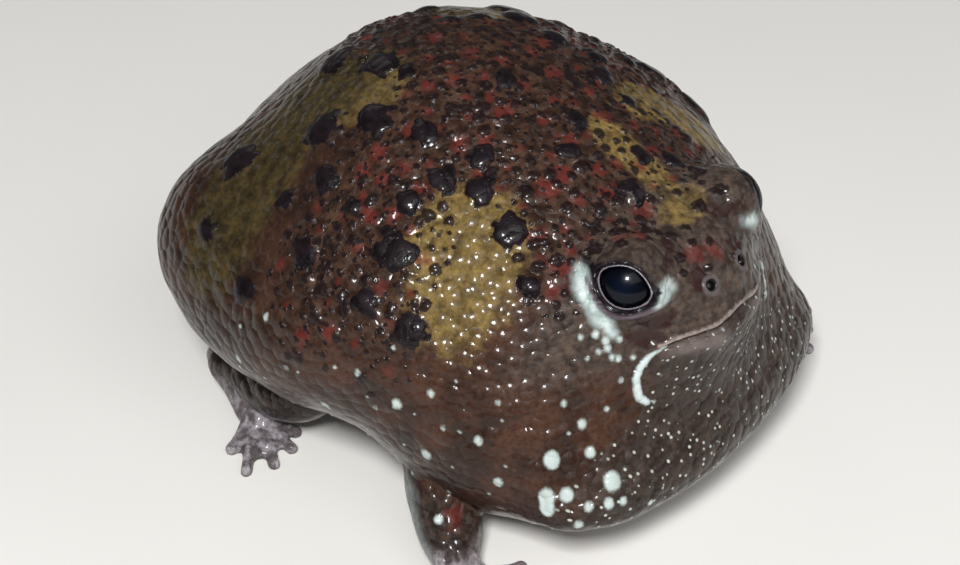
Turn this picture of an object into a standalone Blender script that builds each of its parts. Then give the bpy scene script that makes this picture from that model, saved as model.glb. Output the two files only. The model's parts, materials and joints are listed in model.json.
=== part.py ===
"""Inflated Australian spadefoot toad standing on all fours, a still life-size model.

The toad faces -Y, its left side is +X and it stands on the floor at Z = 0. Sizes are in
millimetres while the pieces are shaped, and each mesh is scaled to metres as it is finished.
"""
import math
import random
from collections import namedtuple

import bmesh
import bpy
import numpy as np
from mathutils import Matrix, Vector

# Driving dimensions, in millimetres
MM = 0.001
GAP = 0.3
SIDES = {"left": 1, "right": -1}
TOAD = "toad"

# Body: rounded masses that flow into one another, each with the width of its blend
Mass = namedtuple("Mass", "centre radii tilt blend")
TRUNK = Mass((0, 8.2, 17.8), (26.9, 24.9, 14.8), -17.3, 1)
HEAD = Mass((0, -11.3, 20.6), (12.6, 13.1, 9.7), 0, 7)
THROAT = Mass((0, -19.4, 9.8), (19.2, 7.0, 5.0), 0, 7)
CHEST = Mass((11.1, -7.4, 12.8), (11.7, 11.7, 11.7), 0, 7)
BROW = Mass((6.2, -16.8, 27.4), (3.7, 3.7, 3.7), 0, 2.5)
SNOUT = Mass((0, -18.7, 24.3), (5.2, 4.5, 4.5), 0, 4)
HIP = Mass((15.6, 21.8, 18.8), (7.3, 7.3, 7.3), 0, 8)
BACK = Mass((0, 9.1, 21.8), (15.9, 15.9, 15.9), 0, 10)
RUMP = Mass((0, 22.5, 18.3), (6.5, 6.5, 6.5), 0, 8)
MASSES = (TRUNK, HEAD, THROAT, CHEST, BROW, SNOUT, HIP, BACK, RUMP)
BODY_CENTRE = np.array((0.0, -1.8, 19.3))
BODY_REACH = 48.0
BODY_FINENESS = 5
FRONT = np.array((0.0, -0.93, 0.37))
FRONT_PULL = 0.3

# Partings: the mouth plane, and the plane of the neck behind the eyes
MOUTH_POINT = Vector((0, -20.96, 18.19))
MOUTH_RISE = Vector((0, -0.405, 0.9145))
MOUTH_FRONT = Vector((0, -0.9145, -0.405))
NECK_POINT = Vector((0, -18.4, 15.7))
NECK_FRONT = Vector((0, -0.874, 0.486))

# Mouth: lips follow the section of the body at the mouth plane from corner to corner
MOUTH_HEART = Vector((0, -19.5, 14.9))
MOUTH_HALF_ANGLE = math.radians(71)
# The mouth's line dips at the middle, climbs over each cheek and falls at its corner
MOUTH_DIP = -1.0
CHEEK_RISE = 2.5
CHEEK_ANGLES = (12, 52)
CORNER_FALL = 2.6
CORNER_ANGLES = (49, 79)
MOUTH_FADE = (3.0, 10.0)
MOUTH_STEPS = 20
MOUTH_NEAR = 16.0
MOUTH_FAR = 32.0
LIP_STEPS = 21
LIP_CLEARANCE = 1.22
UPPER_LIP = 0.55
UPPER_LIP_CORNER = 0.95
LOWER_LIP = 0.40

# Eyes, lids and nostrils
EYE = (7.3, -17.5, 28.0)
EYE_RADIUS = 2.8
EYE_AXIS = (0.82, -0.38, 0.43)
LID_WIDTH = 2.6
LID_HEIGHT = 2.1
LID_THICKNESS = 0.5
LID_SIDES = 20
LID_DEPTH = 0.8
NOSTRIL = (2.2, -22.7, 27.1)
NOSTRIL_RIM = 0.75
NOSTRIL_PIT = 0.5

# Warts: plan position and diameter of the large ones, repeated over the midline where clear
LARGE_WARTS = (
    (-12.9, 12.5, 4.2), (-10.9, 8.2, 3.6), (-5.9, 12.0, 3.3), (-5.5, 17.7, 4.3), (-5.5, 9.0, 2.2),
    (-9.8, 3.3, 2.6), (-8.4, -2.1, 2.7), (-12.1, -0.6, 2.7), (-10.7, -3.7, 2.6), (-15.1, 0.8, 2.3),
    (-16.4, 9.4, 2.6), (-17.6, 5.3, 1.7), (-18.4, -0.7, 3.6), (-11.5, -7.6, 3.2), (-21.6, 7.3, 3.1),
    (-18.7, 12.2, 2.4), (-22.3, -0.4, 2.4), (-21.6, -4.9, 3.2), (-24.8, 12.2, 2.6),
    (-16.5, 20.2, 4.3), (-22.3, 18.9, 2.5), (-13.2, -11.5, 2.0), (-2.4, -7.0, 2.3),
    (0.8, -5.3, 2.3), (-0.9, 1.7, 2.2), (-0.9, -12.8, 2.6), (3.1, -11.1, 2.5), (8.0, -5.8, 2.0),
    (5.8, -12.6, 1.9), (3.0, 11.2, 2.3), (5.2, 16.1, 2.5),
)
WART_RISE = 0.35
WART_SHIFT = 1.1
LARGE_FROM = 3.05
MIDLINE = 2.0
# Small warts: rings round the back between the large ones, and pale spots low on the flanks
SMALL_WART = 1.2
SMALL_RINGS = ((7.0, 6), (12.5, 9), (18.0, 10))
SMALL_CENTRE = (0.0, 2.5)
PALE_SPOT = 1.5
PALE_ROWS = ((15.5, 5, -20.0, 12.0), (12.0, 4, -23.0, -6.0))

# Limbs, given for the right side; x is mirrored for the left
ARM_PATH = ((-15.5, -3.8, 8.8), (-18.2, -5.2, 7.9), (-20.3, -7.3, 6.2), (-21.9, -9.3, 4.2),
            (-23.3, -11.2, 2.6), (-24.2, -12.6, 1.9))
ARM_RADII = (2.9, 3.5, 3.5, 3.1, 2.4, 1.9)
WRIST = 4
PALM = (-23.9, -12.9, 1.35)
PALM_RADII = (2.3, 2.3, 1.5)
HAND_HEADING = math.radians(-18)
FINGER_SPREAD = math.radians(29)
FINGER_LENGTHS = (5.2, 6.4, 6.9, 5.6)
FINGER_RADII = (0.95, 0.62)
LEG_PATH = ((-16.6, 8.6, 9.8), (-18.3, 10.8, 7.0), (-19.0, 13.6, 5.1), (-18.8, 17.0, 4.3),
            (-18.2, 20.2, 3.9), (-17.9, 22.6, 3.6))
LEG_RADII = (2.6, 2.9, 2.9, 2.7, 2.4, 2.0)
FOOT_PATH = ((-17.8, 25.3, 3.2), (-17.9, 24.6, 3.3), (-18.1, 23.0, 3.5), (-18.7, 20.8, 3.1),
             (-19.3, 19.0, 2.2), (-20.0, 17.3, 1.6), (-20.6, 16.2, 1.3))
FOOT_RADII = (0.7, 1.6, 2.2, 2.2, 2.1, 2.0, 1.5)
TOE_ROOT = (-20.0, 17.1, 1.3)
TOE_HEADING = math.radians(33)
TOE_SPREAD = math.radians(22)
TOE_LENGTHS = (4.3, 5.6, 6.8, 7.5, 5.0)
TOE_RADII = (0.95, 0.60)
TOE_WEB = 0.52
WEB_TOP = 0.95
TIP_HEIGHT = 0.50
SPADE_CENTRE = Vector((-17.2, 17.3, 1.25))
SPADE_RADII = (1.1, 2.0, 1.15)
SPADE_TURN = math.radians(14)

# Colours as linear red, green and blue, with the roughness of wet skin
SKIN_ROUGHNESS = 0.42
SKIN = (0.060, 0.032, 0.022)
HEAD_SKIN = (0.085, 0.045, 0.025)
THROAT_SKIN = (0.070, 0.052, 0.042)
LIMB_SKIN = (0.080, 0.058, 0.050)
FOOT_SKIN = (0.260, 0.230, 0.210)
EYE_BLACK = (0.004, 0.005, 0.012)
SPADE_HORN = (0.030, 0.020, 0.015)


def clear_scene():
    for item in list(bpy.data.objects):
        bpy.data.objects.remove(item, do_unlink=True)


def mirrored(point, side):
    """Return a right-side point on the named side."""
    return Vector((-point[0] * SIDES[side], point[1], point[2]))


# The body's form as a smooth union of ellipsoids
def mass_distance(points, mass, side):
    tilt = math.radians(mass.tilt)
    turn = np.array(((1, 0, 0), (0, math.cos(tilt), -math.sin(tilt)),
                     (0, math.sin(tilt), math.cos(tilt))))
    centre = np.array(mass.centre, float) * (side, 1, 1)
    radii = np.array(mass.radii, float)
    local = (points - centre) @ turn
    near = np.linalg.norm(local / radii, axis=-1)
    slope = np.linalg.norm(local / radii ** 2, axis=-1) + 1e-9
    return near * (near - 1.0) / slope


def blend(first, second, width):
    overlap = np.maximum(width - np.abs(first - second), 0) / width
    return np.minimum(first, second) - overlap ** 2 * width * 0.25


def body_field(points):
    """Return roughly the distance outside the skin, negative inside it."""
    field = mass_distance(points, TRUNK, 1)
    for mass in MASSES[1:]:
        for side in ((1,) if mass.centre[0] == 0 else (1, -1)):
            field = blend(field, mass_distance(points, mass, side), mass.blend)
    return field


def meet_skin(origins, directions, reach, level=0.0):
    """Walk from inside along each direction and return where the skin is met."""
    near = np.zeros(len(directions))
    far = np.full(len(directions), float(reach))
    for _ in range(22):
        middle = (near + far) / 2
        inside = body_field(origins + directions * middle[:, None]) < level
        near = np.where(inside, middle, near)
        far = np.where(inside, far, middle)
    return origins + directions * ((near + far) / 2)[:, None]


def skin_normal(point):
    step = 0.05
    probe = np.array([point] * 6) + np.vstack((np.eye(3), -np.eye(3))) * step
    field = body_field(probe)
    return Vector(field[:3] - field[3:]).normalized()


def skin_above(x, y):
    """Return the skin's point over a plan position."""
    start = np.array(((x, y, BODY_CENTRE[2]),))
    return Vector(meet_skin(start, np.array(((0.0, 0.0, 1.0),)), BODY_REACH)[0])


def skin_beside(y, z, side):
    """Return the skin's point on one flank at a length and height."""
    start = np.array(((0.0, y, z),))
    return Vector(meet_skin(start, np.array(((float(side), 0.0, 0.0),)), BODY_REACH)[0])


# Mesh helpers
def body_form(level=0.0):
    form = bmesh.new()
    bmesh.ops.create_icosphere(form, subdivisions=BODY_FINENESS, radius=1.0)
    rays = np.array([vertex.co for vertex in form.verts]) + FRONT * FRONT_PULL
    rays /= np.linalg.norm(rays, axis=1, keepdims=True)
    origins = np.repeat(BODY_CENTRE[None, :], len(rays), axis=0)
    for vertex, point in zip(form.verts, meet_skin(origins, rays, BODY_REACH, level)):
        vertex.co = point
    return form


def ellipsoid(centre, radii, turn=None, fineness=2):
    form = bmesh.new()
    place = Matrix.Translation(centre) @ (turn or Matrix()) @ Matrix.Diagonal((*radii, 1.0))
    bmesh.ops.create_icosphere(form, subdivisions=fineness, radius=1.0, matrix=place)
    return form


def facing(normal):
    """Return the turn that stands +Z along a direction."""
    return normal.to_track_quat("Z", "Y").to_matrix().to_4x4()


def tube(points, radii, closed=False, resolution=2):
    """Return a tapered tube along points, with caps where it isn't closed."""
    curve = bpy.data.curves.new("tube", "CURVE")
    curve.dimensions = "3D"
    curve.bevel_depth = 1.0
    curve.bevel_resolution = resolution
    curve.use_fill_caps = True
    spline = curve.splines.new("POLY")
    spline.points.add(len(points) - 1)
    for knot, point, radius in zip(spline.points, points, radii):
        knot.co = (*point, 1.0)
        knot.radius = radius
    spline.use_cyclic_u = closed
    holder = bpy.data.objects.new("tube", curve)
    mesh = bpy.data.meshes.new_from_object(holder)
    form = bmesh.new()
    form.from_mesh(mesh)
    bmesh.ops.remove_doubles(form, verts=form.verts, dist=1e-4)
    bmesh.ops.recalc_face_normals(form, faces=form.faces)
    bpy.data.objects.remove(holder)
    bpy.data.curves.remove(curve)
    bpy.data.meshes.remove(mesh)
    return form


def smooth_path(points, radii, steps):
    """Return points and radii of a flowing path through the given ones."""
    knots = np.column_stack((np.array(points, float), np.array(radii, float)))
    knots = np.vstack((2 * knots[0] - knots[1], knots, 2 * knots[-1] - knots[-2]))
    flow = []
    for before, start, end, after in zip(knots, knots[1:], knots[2:], knots[3:]):
        for t in np.arange(steps) / steps:
            pull = (end - before) * t + (2 * before - 5 * start + 4 * end - after) * t ** 2
            pull += (3 * start - before - 3 * end + after) * t ** 3
            flow.append(start + 0.5 * pull)
    flow.append(knots[-2])
    flow = np.array(flow)
    return flow[:, :3], flow[:, 3]


def rounded(points, radii):
    """Add a short narrowing end past the last point of a path."""
    heading = (Vector(points[-1]) - Vector(points[-2])).normalized()
    tip = Vector(points[-1]) + heading * radii[-1] * 0.75
    return [*points, tuple(tip)], [*radii, radii[-1] * 0.55]


def cut(form, point, normal):
    """Keep the side of a plane that its normal points away from, and close it."""
    geometry = form.verts[:] + form.edges[:] + form.faces[:]
    made = bmesh.ops.bisect_plane(form, geom=geometry, dist=1e-5, plane_co=point,
                                  plane_no=normal, clear_outer=True)
    rim = [item for item in made["geom_cut"] if isinstance(item, bmesh.types.BMEdge)]
    filled = bmesh.ops.holes_fill(form, edges=rim)
    bmesh.ops.triangulate(form, faces=filled["faces"])
    bmesh.ops.recalc_face_normals(form, faces=form.faces)
    return form


def largest_surface(form):
    """Drop every loose surface but the one with the most room inside it."""
    left = set(form.faces)
    surfaces = []
    while left:
        found = {left.pop()}
        edge_of = list(found)
        while edge_of:
            face = edge_of.pop()
            for edge in face.edges:
                for other in edge.link_faces:
                    if other in left:
                        left.discard(other)
                        found.add(other)
                        edge_of.append(other)
        surfaces.append(found)

    def room(faces):
        total = 0.0
        for face in faces:
            first = face.verts[0].co
            for second, third in zip(face.verts[1:], face.verts[2:]):
                total += first.dot(second.co.cross(third.co))
        return abs(total)

    surfaces.sort(key=room)
    spare = [face for faces in surfaces[:-1] for face in faces]
    bmesh.ops.delete(form, geom=spare, context="FACES")
    return form


def as_object(name, form):
    mesh = bpy.data.meshes.new(name)
    form.to_mesh(mesh)
    form.free()
    return bpy.data.objects.new(name, mesh)


def boolean(base, pieces, operation, solver="EXACT"):
    """Join the pieces to a form, or cut them from it, in one Boolean on a collection."""
    group = bpy.data.collections.new("pieces")
    bpy.context.scene.collection.children.link(group)
    for piece in pieces:
        group.objects.link(as_object("piece", piece))
    body = as_object("base", base)
    bpy.context.scene.collection.objects.link(body)
    modifier = body.modifiers.new("boolean", "BOOLEAN")
    modifier.operation = operation
    modifier.operand_type = "COLLECTION"
    modifier.collection = group
    modifier.solver = solver
    graph = bpy.context.evaluated_depsgraph_get()
    mesh = bpy.data.meshes.new_from_object(body.evaluated_get(graph))
    result = bmesh.new()
    result.from_mesh(mesh)
    for piece in list(group.objects):
        bpy.data.objects.remove(piece)
    bpy.data.objects.remove(body)
    bpy.data.collections.remove(group)
    bpy.data.meshes.remove(mesh)
    return largest_surface(result)


def material(name, colour, roughness):
    made = bpy.data.materials.new(name)
    made.use_nodes = True
    shader = made.node_tree.nodes["Principled BSDF"]
    shader.inputs["Base Color"].default_value = (*colour, 1.0)
    shader.inputs["Roughness"].default_value = roughness
    shader.inputs["Metallic"].default_value = 0.0
    return made


def node(name, form, root, colour, roughness=SKIN_ROUGHNESS):
    """Finish one sub-part in metres, with its origin at its root."""
    bmesh.ops.translate(form, verts=form.verts, vec=-Vector(root))
    bmesh.ops.scale(form, verts=form.verts, vec=(MM, MM, MM))
    made = as_object(name, form)
    made.location = Vector(root) * MM
    made.parent = bpy.data.objects[TOAD]
    made.data.materials.append(material(name + "_finish", colour, roughness))
    made.data.shade_smooth()
    made.data.set_sharp_from_angle(angle=math.radians(50))
    bpy.context.scene.collection.objects.link(made)
    return made


# Warts
def wart(point, diameter):
    """Return a low dome whose root is sunk into the skin."""
    normal = skin_normal(point)
    rise = WART_RISE * math.sqrt(diameter)
    sink = rise * 0.6
    radii = (diameter * 0.54, diameter * 0.54, rise + sink)
    fineness = 2 if diameter > LARGE_FROM else 1
    return ellipsoid(point - normal * sink, radii, facing(normal), fineness)


def clear_of(point, diameter, others, margin):
    return all((point - other).length > (diameter + size) / 2 + margin
               for other, size in others)


def large_warts():
    """Return the large warts as (point, diameter), with like ones over the midline."""
    chance = random.Random(7)
    found = [(skin_above(x, y), diameter) for x, y, diameter in LARGE_WARTS]
    for x, y, diameter in LARGE_WARTS:
        other = skin_above(chance.uniform(-WART_SHIFT, WART_SHIFT) - x,
                           chance.uniform(-WART_SHIFT, WART_SHIFT) + y)
        grown = diameter * chance.uniform(0.85, 1.15)
        if x < -MIDLINE and clear_of(other, grown, found, GAP):
            found.append((other, grown))
    return found


def small_warts(others):
    """Return small warts on rings over the back, where the large ones leave room."""
    chance = random.Random(11)
    found = []
    for radius, count in SMALL_RINGS:
        for step in range(count):
            angle = math.tau * (step + chance.uniform(-0.3, 0.3)) / count
            reach = radius * chance.uniform(0.88, 1.12)
            point = skin_above(SMALL_CENTRE[0] + math.cos(angle) * reach,
                               SMALL_CENTRE[1] + math.sin(angle) * reach)
            diameter = SMALL_WART * chance.uniform(0.8, 1.3)
            if clear_of(point, diameter, others + found, 0.3):
                found.append((point, diameter))
    return found


def pale_spots():
    """Return the pale spots in rows low on both flanks."""
    chance = random.Random(5)
    found = []
    for height, count, front, rear in PALE_ROWS:
        for side in SIDES.values():
            for step in range(count):
                y = front + (rear - front) * step / (count - 1) + chance.uniform(-1.2, 1.2)
                z = height + chance.uniform(-1.0, 1.0)
                diameter = PALE_SPOT * chance.uniform(0.75, 1.25)
                found.append((skin_beside(y, z, side), diameter))
    return found


def parted(point, plane, normal):
    """Return how far a point is in front of a plane."""
    return (point - plane).dot(normal)


def warts_of(part):
    """Return the domes that lie wholly on the torso, the head or the throat."""
    large = large_warts()
    every = large + small_warts(large) + pale_spots()
    domes = []
    for point, diameter in every:
        neck = parted(point, NECK_POINT, NECK_FRONT)
        mouth = parted(point, MOUTH_POINT, MOUTH_FRONT) + mouth_bend(point)
        margin = diameter * 0.6 + GAP
        near_eye = any((point - mirrored((-EYE[0], EYE[1], EYE[2]), side)).length
                       < EYE_RADIUS + LID_THICKNESS + margin for side in SIDES)
        on_part = {"torso": neck < -margin and mouth < -margin,
                   "head": neck > margin and mouth < -margin,
                   "throat": mouth > margin}[part]
        if on_part and not near_eye:
            domes.append(wart(point, diameter))
    return domes


# The mouth
def ease(limits, value):
    """Return 0 up to the first limit, 1 from the second, and a smooth change between."""
    low, high = limits
    share = min(max((value - low) / (high - low), 0), 1)
    return share * share * (3 - 2 * share)


def mouth_bend(point):
    """Return how far towards the head the mouth's line lies from its plane."""
    up = (Vector(point) - MOUTH_HEART).dot(MOUTH_RISE)
    angle = abs(math.degrees(math.atan2(point[0], up)))
    bend = MOUTH_DIP + CHEEK_RISE * ease(CHEEK_ANGLES, angle)
    bend -= CORNER_FALL * ease(CORNER_ANGLES, angle)
    return bend * ease(MOUTH_FADE, math.hypot(point[0], up))


def mouth_side(way):
    """Return all before the mouth's bent cut, for a way of 1, or behind it, for -1."""
    form = bmesh.new()
    bmesh.ops.create_grid(form, x_segments=MOUTH_STEPS, y_segments=MOUTH_STEPS, size=1.0)
    for vertex in form.verts:
        x, up = (MOUTH_NEAR * share + MOUTH_FAR * share ** 5 for share in vertex.co.xy)
        place = MOUTH_HEART + Vector((x, 0, 0)) + MOUTH_RISE * up
        vertex.co = place - MOUTH_FRONT * (mouth_bend(place) + GAP / 2 * way)
    raised = bmesh.ops.extrude_face_region(form, geom=form.faces[:])["geom"]
    tops = [item for item in raised if isinstance(item, bmesh.types.BMVert)]
    bmesh.ops.translate(form, verts=tops, vec=MOUTH_FRONT * BODY_REACH * 1.5 * way)
    bmesh.ops.recalc_face_normals(form, faces=form.faces)
    return form


def mouth_line(lifts):
    """Return skin points along the mouth, each lifted off its line towards the head."""
    angles = np.linspace(-MOUTH_HALF_ANGLE, MOUTH_HALF_ANGLE, LIP_STEPS)
    across = np.array((1.0, 0.0, 0.0))
    rays = np.outer(np.sin(angles), across) + np.outer(np.cos(angles), np.array(MOUTH_RISE))
    bends = [mouth_bend(MOUTH_HEART + Vector(ray) * BODY_REACH) for ray in rays]
    origins = np.array(MOUTH_HEART) - np.outer(lifts + np.array(bends), np.array(MOUTH_FRONT))
    return meet_skin(origins, rays, BODY_REACH)


def lip(thin, thick, side):
    """Return one lip, thicker at the corners; side is 1 over and -1 under the mouth."""
    along = np.abs(np.linspace(-1, 1, LIP_STEPS))
    radii = thin + (thick - thin) * along ** 5
    return tube(mouth_line(side * (radii * LIP_CLEARANCE + GAP)), radii)


def eye_place(side):
    return mirrored((-EYE[0], EYE[1], EYE[2]), side)


def eye_axis(side):
    return mirrored((-EYE_AXIS[0], EYE_AXIS[1], EYE_AXIS[2]), side).normalized()


def lid_cover(side):
    """Return the lids still closed, a round cover over the whole eyeball."""
    return ellipsoid(eye_place(side), (EYE_RADIUS + GAP + LID_THICKNESS,) * 3, fineness=3)


def lid_opening(side):
    """Return the oval that is cut out between the lids."""
    axis = eye_axis(side)
    level = axis.cross(Vector((0, 0, 1))).normalized()
    rise = level.cross(axis)
    turn = Matrix((level, rise, -axis)).transposed().to_4x4()
    place = Matrix.Translation(eye_place(side) + axis * (EYE_RADIUS + LID_DEPTH)) @ turn
    form = bmesh.new()
    bmesh.ops.create_cone(form, cap_ends=True, segments=LID_SIDES, radius1=1.0, radius2=1.0,
                          depth=EYE_RADIUS * 1.6, matrix=place @ Matrix.Diagonal(
                              (LID_WIDTH, LID_HEIGHT, 1.0, 1.0)))
    bmesh.ops.recalc_face_normals(form, faces=form.faces)
    return form


def nostril_rim(side):
    centre = mirrored((-NOSTRIL[0], NOSTRIL[1], NOSTRIL[2]), side)
    point = skin_above(centre.x, centre.y)
    turn = facing(skin_normal(point))
    return ellipsoid(point, (NOSTRIL_RIM, NOSTRIL_RIM, NOSTRIL_RIM * 0.55), turn)


def nostril_pit(side):
    centre = mirrored((-NOSTRIL[0], NOSTRIL[1], NOSTRIL[2]), side)
    point = skin_above(centre.x, centre.y)
    normal = skin_normal(point)
    return ellipsoid(point + normal * 0.35, (NOSTRIL_PIT, NOSTRIL_PIT, 0.95), facing(normal))


# Sub-parts
def make_torso():
    form = boolean(body_form(), [mouth_side(1)], "DIFFERENCE")
    form = cut(form, NECK_POINT - NECK_FRONT * GAP / 2, NECK_FRONT)
    form = boolean(form, warts_of("torso"), "UNION")
    node("torso", form, TRUNK.centre, SKIN)


def make_head():
    form = boolean(body_form(), [mouth_side(1)], "DIFFERENCE")
    form = cut(form, NECK_POINT + NECK_FRONT * GAP / 2, -NECK_FRONT)
    added = warts_of("head")
    added.append(lip(UPPER_LIP, UPPER_LIP_CORNER, 1))
    sockets = []
    for side in SIDES:
        added.append(lid_cover(side))
        added.append(nostril_rim(side))
        socket = EYE_RADIUS + GAP
        sockets.append(ellipsoid(eye_place(side), (socket,) * 3, fineness=3))
        sockets.append(lid_opening(side))
        sockets.append(nostril_pit(side))
    form = boolean(form, added, "UNION")
    form = boolean(form, sockets, "DIFFERENCE")
    node("head", form, HEAD.centre, HEAD_SKIN)


def make_throat():
    form = boolean(body_form(), [mouth_side(-1)], "DIFFERENCE")
    form = boolean(form, [lip(LOWER_LIP, LOWER_LIP, -1), *warts_of("throat")], "UNION")
    node("throat", form, THROAT.centre, THROAT_SKIN)


def make_eyes():
    for side in SIDES:
        ball = ellipsoid(eye_place(side), (EYE_RADIUS,) * 3, fineness=3)
        node("eye_" + side, ball, eye_place(side), EYE_BLACK, 0.08)


def digit(root, heading, length, radii, side, height):
    """Return one finger or toe from its root, along a heading in plan."""
    start = Vector(root)
    way = Vector((-math.sin(heading), -math.cos(heading), 0))
    points = [start + way * length * share for share in (0.15, 0.45, 0.75, 1.0)]
    drop = (start.z - height) / 3
    for step, point in enumerate(points):
        point.z = start.z - drop * step
    thick, thin = radii
    sizes = [thick, thick * 0.82, thin, thin * 1.12]
    points, sizes = rounded(points, sizes)
    return tube([mirrored(point, side) for point in points], sizes, resolution=1)


def on_floor(form):
    return cut(form, Vector((0, 0, 0)), Vector((0, 0, -1)))


def make_arm(side, clearance):
    points, radii = smooth_path(ARM_PATH, ARM_RADII, 2)
    form = tube([mirrored(point, side) for point in points], radii, resolution=3)
    wrist = mirrored(ARM_PATH[WRIST], side)
    heading = (mirrored(ARM_PATH[WRIST + 1], side) - mirrored(ARM_PATH[WRIST - 1], side))
    heading.normalize()
    form = boolean(form, [clearance], "DIFFERENCE")
    form = cut(form, wrist - heading * GAP / 2, heading)
    node("forearm_" + side, form, wrist, LIMB_SKIN)
    return wrist, heading


def make_hand(side, wrist, heading):
    palm = ellipsoid(mirrored(PALM, side), PALM_RADII, fineness=3)
    root = tube([wrist - heading * 0.6, wrist + heading * 0.6, mirrored(PALM, side)],
                (2.3, 2.1, 1.6), resolution=3)
    fingers = [root]
    middle = (len(FINGER_LENGTHS) - 1) / 2
    for step, length in enumerate(FINGER_LENGTHS):
        turn = HAND_HEADING + FINGER_SPREAD * (middle - step)
        fingers.append(digit(PALM, turn, length, FINGER_RADII, side, TIP_HEIGHT))
    form = boolean(palm, fingers, "UNION")
    form = cut(form, wrist + heading * GAP / 2, -heading)
    node("hand_" + side, on_floor(form), wrist, LIMB_SKIN)


def make_leg(side, clearance):
    points, radii = smooth_path(LEG_PATH, LEG_RADII, 2)
    form = tube([mirrored(point, side) for point in points], radii, resolution=3)
    form = boolean(form, [clearance], "DIFFERENCE")
    form = boolean(form, [foot_sole(side, GAP)], "DIFFERENCE")
    form = boolean(form, [spade(side, GAP)], "DIFFERENCE")
    node("shank_" + side, form, mirrored(LEG_PATH[2], side), LIMB_SKIN)


def web(side):
    """Return the short web between the roots of the toes."""
    form = bmesh.new()
    corners = [Vector(TOE_ROOT)]
    middle = (len(TOE_LENGTHS) - 1) / 2
    for step, length in enumerate(TOE_LENGTHS):
        turn = TOE_HEADING + TOE_SPREAD * (step - middle)
        way = Vector((-math.sin(turn), -math.cos(turn), 0))
        corners.append(Vector(TOE_ROOT) + way * length * TOE_WEB)
    for corner in corners:
        for height in (0.1, WEB_TOP):
            place = mirrored(corner, side)
            place.z = height
            form.verts.new(place)
    bmesh.ops.convex_hull(form, input=form.verts)
    return form


def foot_sole(side, grow=0.0):
    points, radii = smooth_path(FOOT_PATH, FOOT_RADII, 2)
    return tube([mirrored(point, side) for point in points], radii + grow, resolution=3)


def make_foot(side):
    sole = foot_sole(side)
    toes = [web(side)]
    middle = (len(TOE_LENGTHS) - 1) / 2
    for step, length in enumerate(TOE_LENGTHS):
        turn = TOE_HEADING + TOE_SPREAD * (step - middle)
        toes.append(digit(TOE_ROOT, turn, length, TOE_RADII, side, TIP_HEIGHT))
    form = boolean(sole, toes, "UNION")
    form = boolean(form, [spade(side, GAP)], "DIFFERENCE")
    node("foot_" + side, on_floor(form), mirrored(TOE_ROOT, side), FOOT_SKIN)


def spade(side, grow=0.0):
    """Return the digging tubercle on the inner edge of the sole."""
    turn = Matrix.Rotation(SPADE_TURN * SIDES[side], 4, "Z")
    radii = [radius + grow for radius in SPADE_RADII]
    return ellipsoid(mirrored(SPADE_CENTRE, side), radii, turn, 2)


def make_spade(side):
    root = mirrored(SPADE_CENTRE, side)
    node("spade_" + side, on_floor(spade(side)), root, SPADE_HORN, 0.35)


def centre_on_origin():
    """Move the parent so that the middle of the toad's outline is over the origin."""
    bpy.context.view_layer.update()
    toad = bpy.data.objects[TOAD]
    corners = np.array([child.matrix_world @ vertex.co for child in toad.children
                        for vertex in child.data.vertices])
    middle = (corners.min(axis=0) + corners.max(axis=0)) / 2
    toad.location = (-middle[0], -middle[1], 0)


def main():
    clear_scene()
    bpy.context.scene.collection.objects.link(bpy.data.objects.new(TOAD, None))
    make_torso()
    make_head()
    make_throat()
    make_eyes()
    for side in SIDES:
        wrist, heading = make_arm(side, body_form(GAP))
        make_hand(side, wrist, heading)
        make_leg(side, body_form(GAP))
        make_foot(side)
        make_spade(side)
    centre_on_origin()


main()
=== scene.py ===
"""Looks of the inflated Australian spadefoot toad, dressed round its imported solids.

The skin is shaped in the millimetres of the solids' own design and moved into the frame,
in metres, as it is finished.
"""
import json
import math
import random
from collections import namedtuple
from functools import partial
from itertools import product

import bmesh
import bpy
import numpy as np
from mathutils import Matrix, Vector, noise

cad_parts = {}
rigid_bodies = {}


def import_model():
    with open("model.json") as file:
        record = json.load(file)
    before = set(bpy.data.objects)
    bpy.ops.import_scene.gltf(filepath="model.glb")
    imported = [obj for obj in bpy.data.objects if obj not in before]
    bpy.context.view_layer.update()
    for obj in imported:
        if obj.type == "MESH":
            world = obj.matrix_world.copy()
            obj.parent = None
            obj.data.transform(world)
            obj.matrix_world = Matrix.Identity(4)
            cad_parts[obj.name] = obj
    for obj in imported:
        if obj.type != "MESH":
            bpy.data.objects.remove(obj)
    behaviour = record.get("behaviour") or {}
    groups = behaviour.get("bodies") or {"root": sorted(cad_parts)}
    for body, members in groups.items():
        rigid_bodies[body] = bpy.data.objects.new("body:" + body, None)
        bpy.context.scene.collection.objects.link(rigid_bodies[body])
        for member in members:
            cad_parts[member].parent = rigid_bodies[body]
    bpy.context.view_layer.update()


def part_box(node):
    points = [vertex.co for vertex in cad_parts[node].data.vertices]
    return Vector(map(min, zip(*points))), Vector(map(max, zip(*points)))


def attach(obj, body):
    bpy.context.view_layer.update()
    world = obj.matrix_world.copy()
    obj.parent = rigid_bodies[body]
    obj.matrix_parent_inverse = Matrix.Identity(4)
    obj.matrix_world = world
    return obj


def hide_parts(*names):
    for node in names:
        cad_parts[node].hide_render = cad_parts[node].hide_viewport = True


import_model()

# The body's masses and places, as the solids have them, in millimetres
MM = 0.001
SIDES = {"left": 1, "right": -1}
Mass = namedtuple("Mass", "centre radii tilt blend")
TRUNK = Mass((0, 8.2, 17.8), (26.9, 24.9, 14.8), -17.3, 1)
HEAD = Mass((0, -11.3, 20.6), (12.6, 13.1, 9.7), 0, 7)
THROAT = Mass((0, -19.4, 9.8), (19.2, 7.0, 5.0), 0, 7)
CHEST = Mass((11.1, -7.4, 12.8), (11.7, 11.7, 11.7), 0, 7)
BROW = Mass((6.2, -16.8, 27.4), (3.7, 3.7, 3.7), 0, 2.5)
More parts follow.
